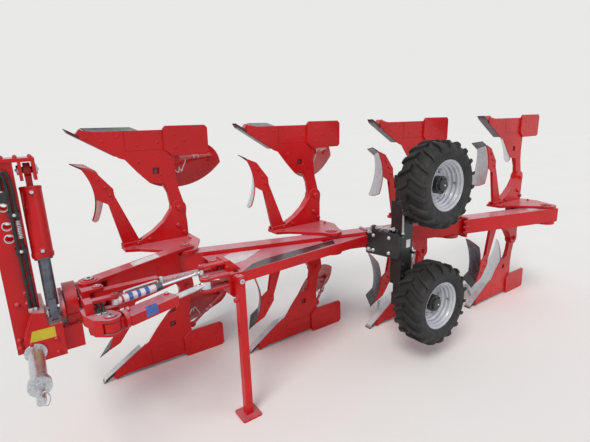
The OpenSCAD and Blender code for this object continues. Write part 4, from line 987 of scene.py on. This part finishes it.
TYRE_R, TYRE_W, RIM_R = 305, 230, 168
LUGS = 18
TREAD_R = TYRE_R - 22
TYRE_SECTION = [
    (RIM_R - 1, 78), (RIM_R + 4, 90), (RIM_R + 16, 97), (RIM_R + 30, 103), (RIM_R + 34, 106), (RIM_R + 40, 106),
    (RIM_R + 46, 109), (RIM_R + 66, 111.5), (RIM_R + 78, 111), (RIM_R + 94, 106), (RIM_R + 106, 97),
    (TREAD_R - 3, 80), (TREAD_R, 55), (TREAD_R + 1.5, 0),
]
RIM_SECTION = [
    (25.6, -44), (58, -44), (60, -42), (60, -26), (66, -21), (112, -21), (122, -17), (131, -8), (138, -7),
    (RIM_R - 20, -8), (RIM_R - 18, -20), (RIM_R - 18, -50), (RIM_R - 13, -60), (RIM_R - 11, -88), (RIM_R - 4, -90),
    (RIM_R + 7, -92), (RIM_R + 8, -94), (RIM_R + 6, -95), (RIM_R - 6, -94), (RIM_R - 1.2, -84), (RIM_R - 1.2, 84),
    (RIM_R + 6, 95), (RIM_R + 8, 94), (RIM_R + 7, 92), (RIM_R - 3, 89), (RIM_R - 6, 86), (RIM_R - 7, 72),
    (RIM_R - 9, 69), (RIM_R - 15, 67), (RIM_R - 17, 64), (RIM_R - 18, 46), (RIM_R - 20, 43), (RIM_R - 26, 41),
    (RIM_R - 28, 38), (RIM_R - 29, 22), (RIM_R - 32, 19), (130, 16), (126, 12), (122, 2), (112, -1), (106, -8),
    (84, -8), (78, -1), (62, -1), (60, 1), (60, 42), (58, 44), (25.6, 44),
]


def wheel_frame(side):
    """Local frame of a wheel: its Z points left, out of the plough."""
    return Matrix.Translation((WHEEL[0], WHEEL[1], side * WHEEL[2])) @ Z_LEFT


def tyre(name, side):
    piece = Piece(name + "_carcass", "wheel_" + name, "rubber")
    frame_at = wheel_frame(side)
    inside = [(r, -h) for r, h in reversed(TYRE_SECTION[:-1])]
    piece.lathe(frame_at, TYRE_SECTION + inside, count=120)
    for half in (1, -1):
        for k in range(LUGS):
            start = 2 * math.pi * (k + (0 if half > 0 else 0.5)) / LUGS
            rings = []
            for step in range(9):
                t = step / 8
                across = half * (-7 + 120 * t)
                drop = 0 if t < 0.72 else 20 * ((t - 0.72) / 0.28) ** 1.6
                lean = 0.235 * t ** 0.86
                wide = 0.044 - 0.006 * t
                foot = TREAD_R - 10 - 24 * t ** 3
                top = TYRE_R - 2.5 * t - drop
                limit = half * min(abs(across), TYRE_W / 2 - 0.6)
                flank = ((foot, 1.25), (top - 3, 1.0), (top, 0.86))
                ring = [(start + lean - wide * spread, r) for r, spread in flank]
                ring += [(start + lean + wide * spread, r) for r, spread in reversed(flank)]
                rings.append([frame_at @ Vector((r * math.cos(a), r * math.sin(a), limit)) for a, r in ring])
            piece.loft(rings)
    piece.done("tyre_" + name, angle=40)


def rim(name, side):
    frame_at = wheel_frame(side)
    piece = Piece(name + "_rim", "wheel_" + name, "rim", "black", "zinc", "dark")
    piece.lathe(frame_at, RIM_SECTION, count=120)
    for spot in around(frame_at, 6, 12, 92, -7.5):
        piece.turned(spot, [(17, -1), (17, 3), (15, 4.5)], "zinc", 24)
        piece.turned(spot, [(13, 4), (13, 16), (11, 18)], "zinc", 6)
        piece.turned(spot, [(7, 16), (7, 25), (6, 26)], "zinc", 16)
    for spot in around(frame_at, 8, 20, 112, -1.5):
        piece.ring(spot, 9, 6.5, -3, 2.5, "rim", 24)
        piece.turned(spot, [(6.6, -3), (6.6, 0.5)], "dark", 24)
    valve = frame_at @ Matrix.Translation((RIM_R - 26, 0, 40)) @ Matrix.Rotation(math.radians(-20), 4, "Y")
    piece.turned(valve, [(4, -30), (4, 20), (3.4, 22)], "dark", 12)
    # Black hub with its cap and flange screws
    piece.turned(frame_at, [(61.5, 2), (61.5, 44), (58, 47), (45, 48), (43, 60), (36, 66), (14, 68)], "black", 48)
    for spot in around(frame_at, 6, 42, 52, 47):
        piece.turned(spot, [(6.5, -1), (6.5, 6), (5.5, 7)], "black", 6)
    piece.turned(frame_at @ Matrix.Translation((0, 0, 68)), [(7, -1), (7, 3), (4, 7)], "zinc", 12)
    piece.done("rim_" + name, angle=30)


for name, side in (("upper", 1), ("lower", -1)):
    tyre(name, side)
    rim(name, side)


def arm_fittings(name, side):
    piece = Piece("arm_fittings_" + name, "wheel_slide_" + name, "black")
    for x, z in ((1955, 468), (2000, 468), (1955, 425), (2040, 437)):
        piece.bolt((x, MAST_FACE, side * z), LEFT, 12, "black")
    piece.ring(axes((WHEEL[0], MAST_FACE, side * WHEEL[2]), LEFT), 38, 25.2, -0.3, 12, "black")
    piece.done()


arm_fittings("upper", 1)
arm_fittings("lower", -1)


def stand_fittings():
    piece = Piece("stand_fittings", "stand", "red")
    piece.block(Matrix.Translation((685, -877, 31)), 21, 21, -0.3, 2.5, "red", 1)
    knob = axes((662, -885, -107), (-1, 0, 0))
    piece.turned(knob, [(7, -1), (7, 8), (13, 10), (14, 20), (11, 24)], "red", 24)
    piece.turned(axes((708, -877, -60), REAR), [(9, -1), (9, 5), (7, 6.5)], "red", 6)
    piece.done()


stand_fittings()


# Stage

FLOOR_SIZE = 80.0
BACKDROP = linear("e9e9e8")


def make_floor():
    look = Look("floor", BACKDROP, 0.9)
    look.colour(look.mix(look.patchy(0.8, 5, 0.3, 0.7), "f4f4f3", "f2f2f1"))
    bpy.ops.mesh.primitive_plane_add(size=FLOOR_SIZE)
    floor = bpy.context.object
    floor.name = "floor"
    floor.data.materials.append(look.material)


def make_world():
    world = bpy.data.worlds.new("studio")
    bpy.context.scene.world = world
    world.use_nodes = True
    tree = world.node_tree
    sky = tree.nodes["Background"]
    sky.inputs["Color"].default_value = linear("eef1f6")
    sky.inputs["Strength"].default_value = 0.55
    seen = tree.nodes.new("ShaderNodeBackground")
    seen.inputs["Color"].default_value = BACKDROP
    seen.inputs["Strength"].default_value = 1.0
    paths = tree.nodes.new("ShaderNodeLightPath")
    mix = tree.nodes.new("ShaderNodeMixShader")
    shown = paths.outputs["Is Camera Ray"]
    for kind in ("Is Glossy Ray", "Is Transmission Ray"):
        either = tree.nodes.new("ShaderNodeMath")
        either.operation = "MAXIMUM"
        tree.links.new(shown, either.inputs[0])
        tree.links.new(paths.outputs[kind], either.inputs[1])
        shown = either.outputs["Value"]
    tree.links.new(shown, mix.inputs["Fac"])
    tree.links.new(sky.outputs["Background"], mix.inputs[1])
    tree.links.new(seen.outputs["Background"], mix.inputs[2])
    tree.links.new(mix.outputs["Shader"], tree.nodes["World Output"].inputs["Surface"])


def sun(name, direction, strength, soft, colour="ffffff"):
    data = bpy.data.lights.new(name, "SUN")
    data.energy = strength
    data.angle = math.radians(soft)
    data.color = linear(colour)[:3]
    lamp = bpy.data.objects.new(name, data)
    lamp.rotation_mode = "QUATERNION"
    lamp.rotation_quaternion = Vector(direction).to_track_quat("-Z", "Y")
    bpy.context.scene.collection.objects.link(lamp)


def make_lights():
    sun("key", (0.62, 0.42, -0.9), 1.6, 25, "fffaf2")
    sun("fill", (-0.5, 0.8, -0.45), 0.35, 40, "f2f6ff")


# The camera stands as in the photograph
CAMERA_AT = (-272.1, -2860.4, 872.4)
CAMERA_RIGHT = Vector((0.82031, -0.57104, -0.03169))
CAMERA_UP = Vector((0.15933, 0.17496, 0.97160))
FOCAL_PIXELS = 401.5
IMAGE_WIDTH = 590
SENSOR = 36.0


def make_camera():
    data = bpy.data.cameras.new("camera")
    data.sensor_width = SENSOR
    data.lens = FOCAL_PIXELS / IMAGE_WIDTH * SENSOR
    camera = bpy.data.objects.new("camera", data)
    back = CAMERA_RIGHT.cross(CAMERA_UP).normalized()
    turn = Matrix((CAMERA_RIGHT, CAMERA_UP, back)).transposed().to_4x4()
    camera.matrix_world = Matrix.Translation((Vector(CAMERA_AT) - ORIGIN) * MM) @ turn
    bpy.context.scene.collection.objects.link(camera)
    bpy.context.scene.camera = camera


make_camera()
make_world()
make_lights()
make_floor()
bpy.context.scene.view_settings.view_transform = "Standard"
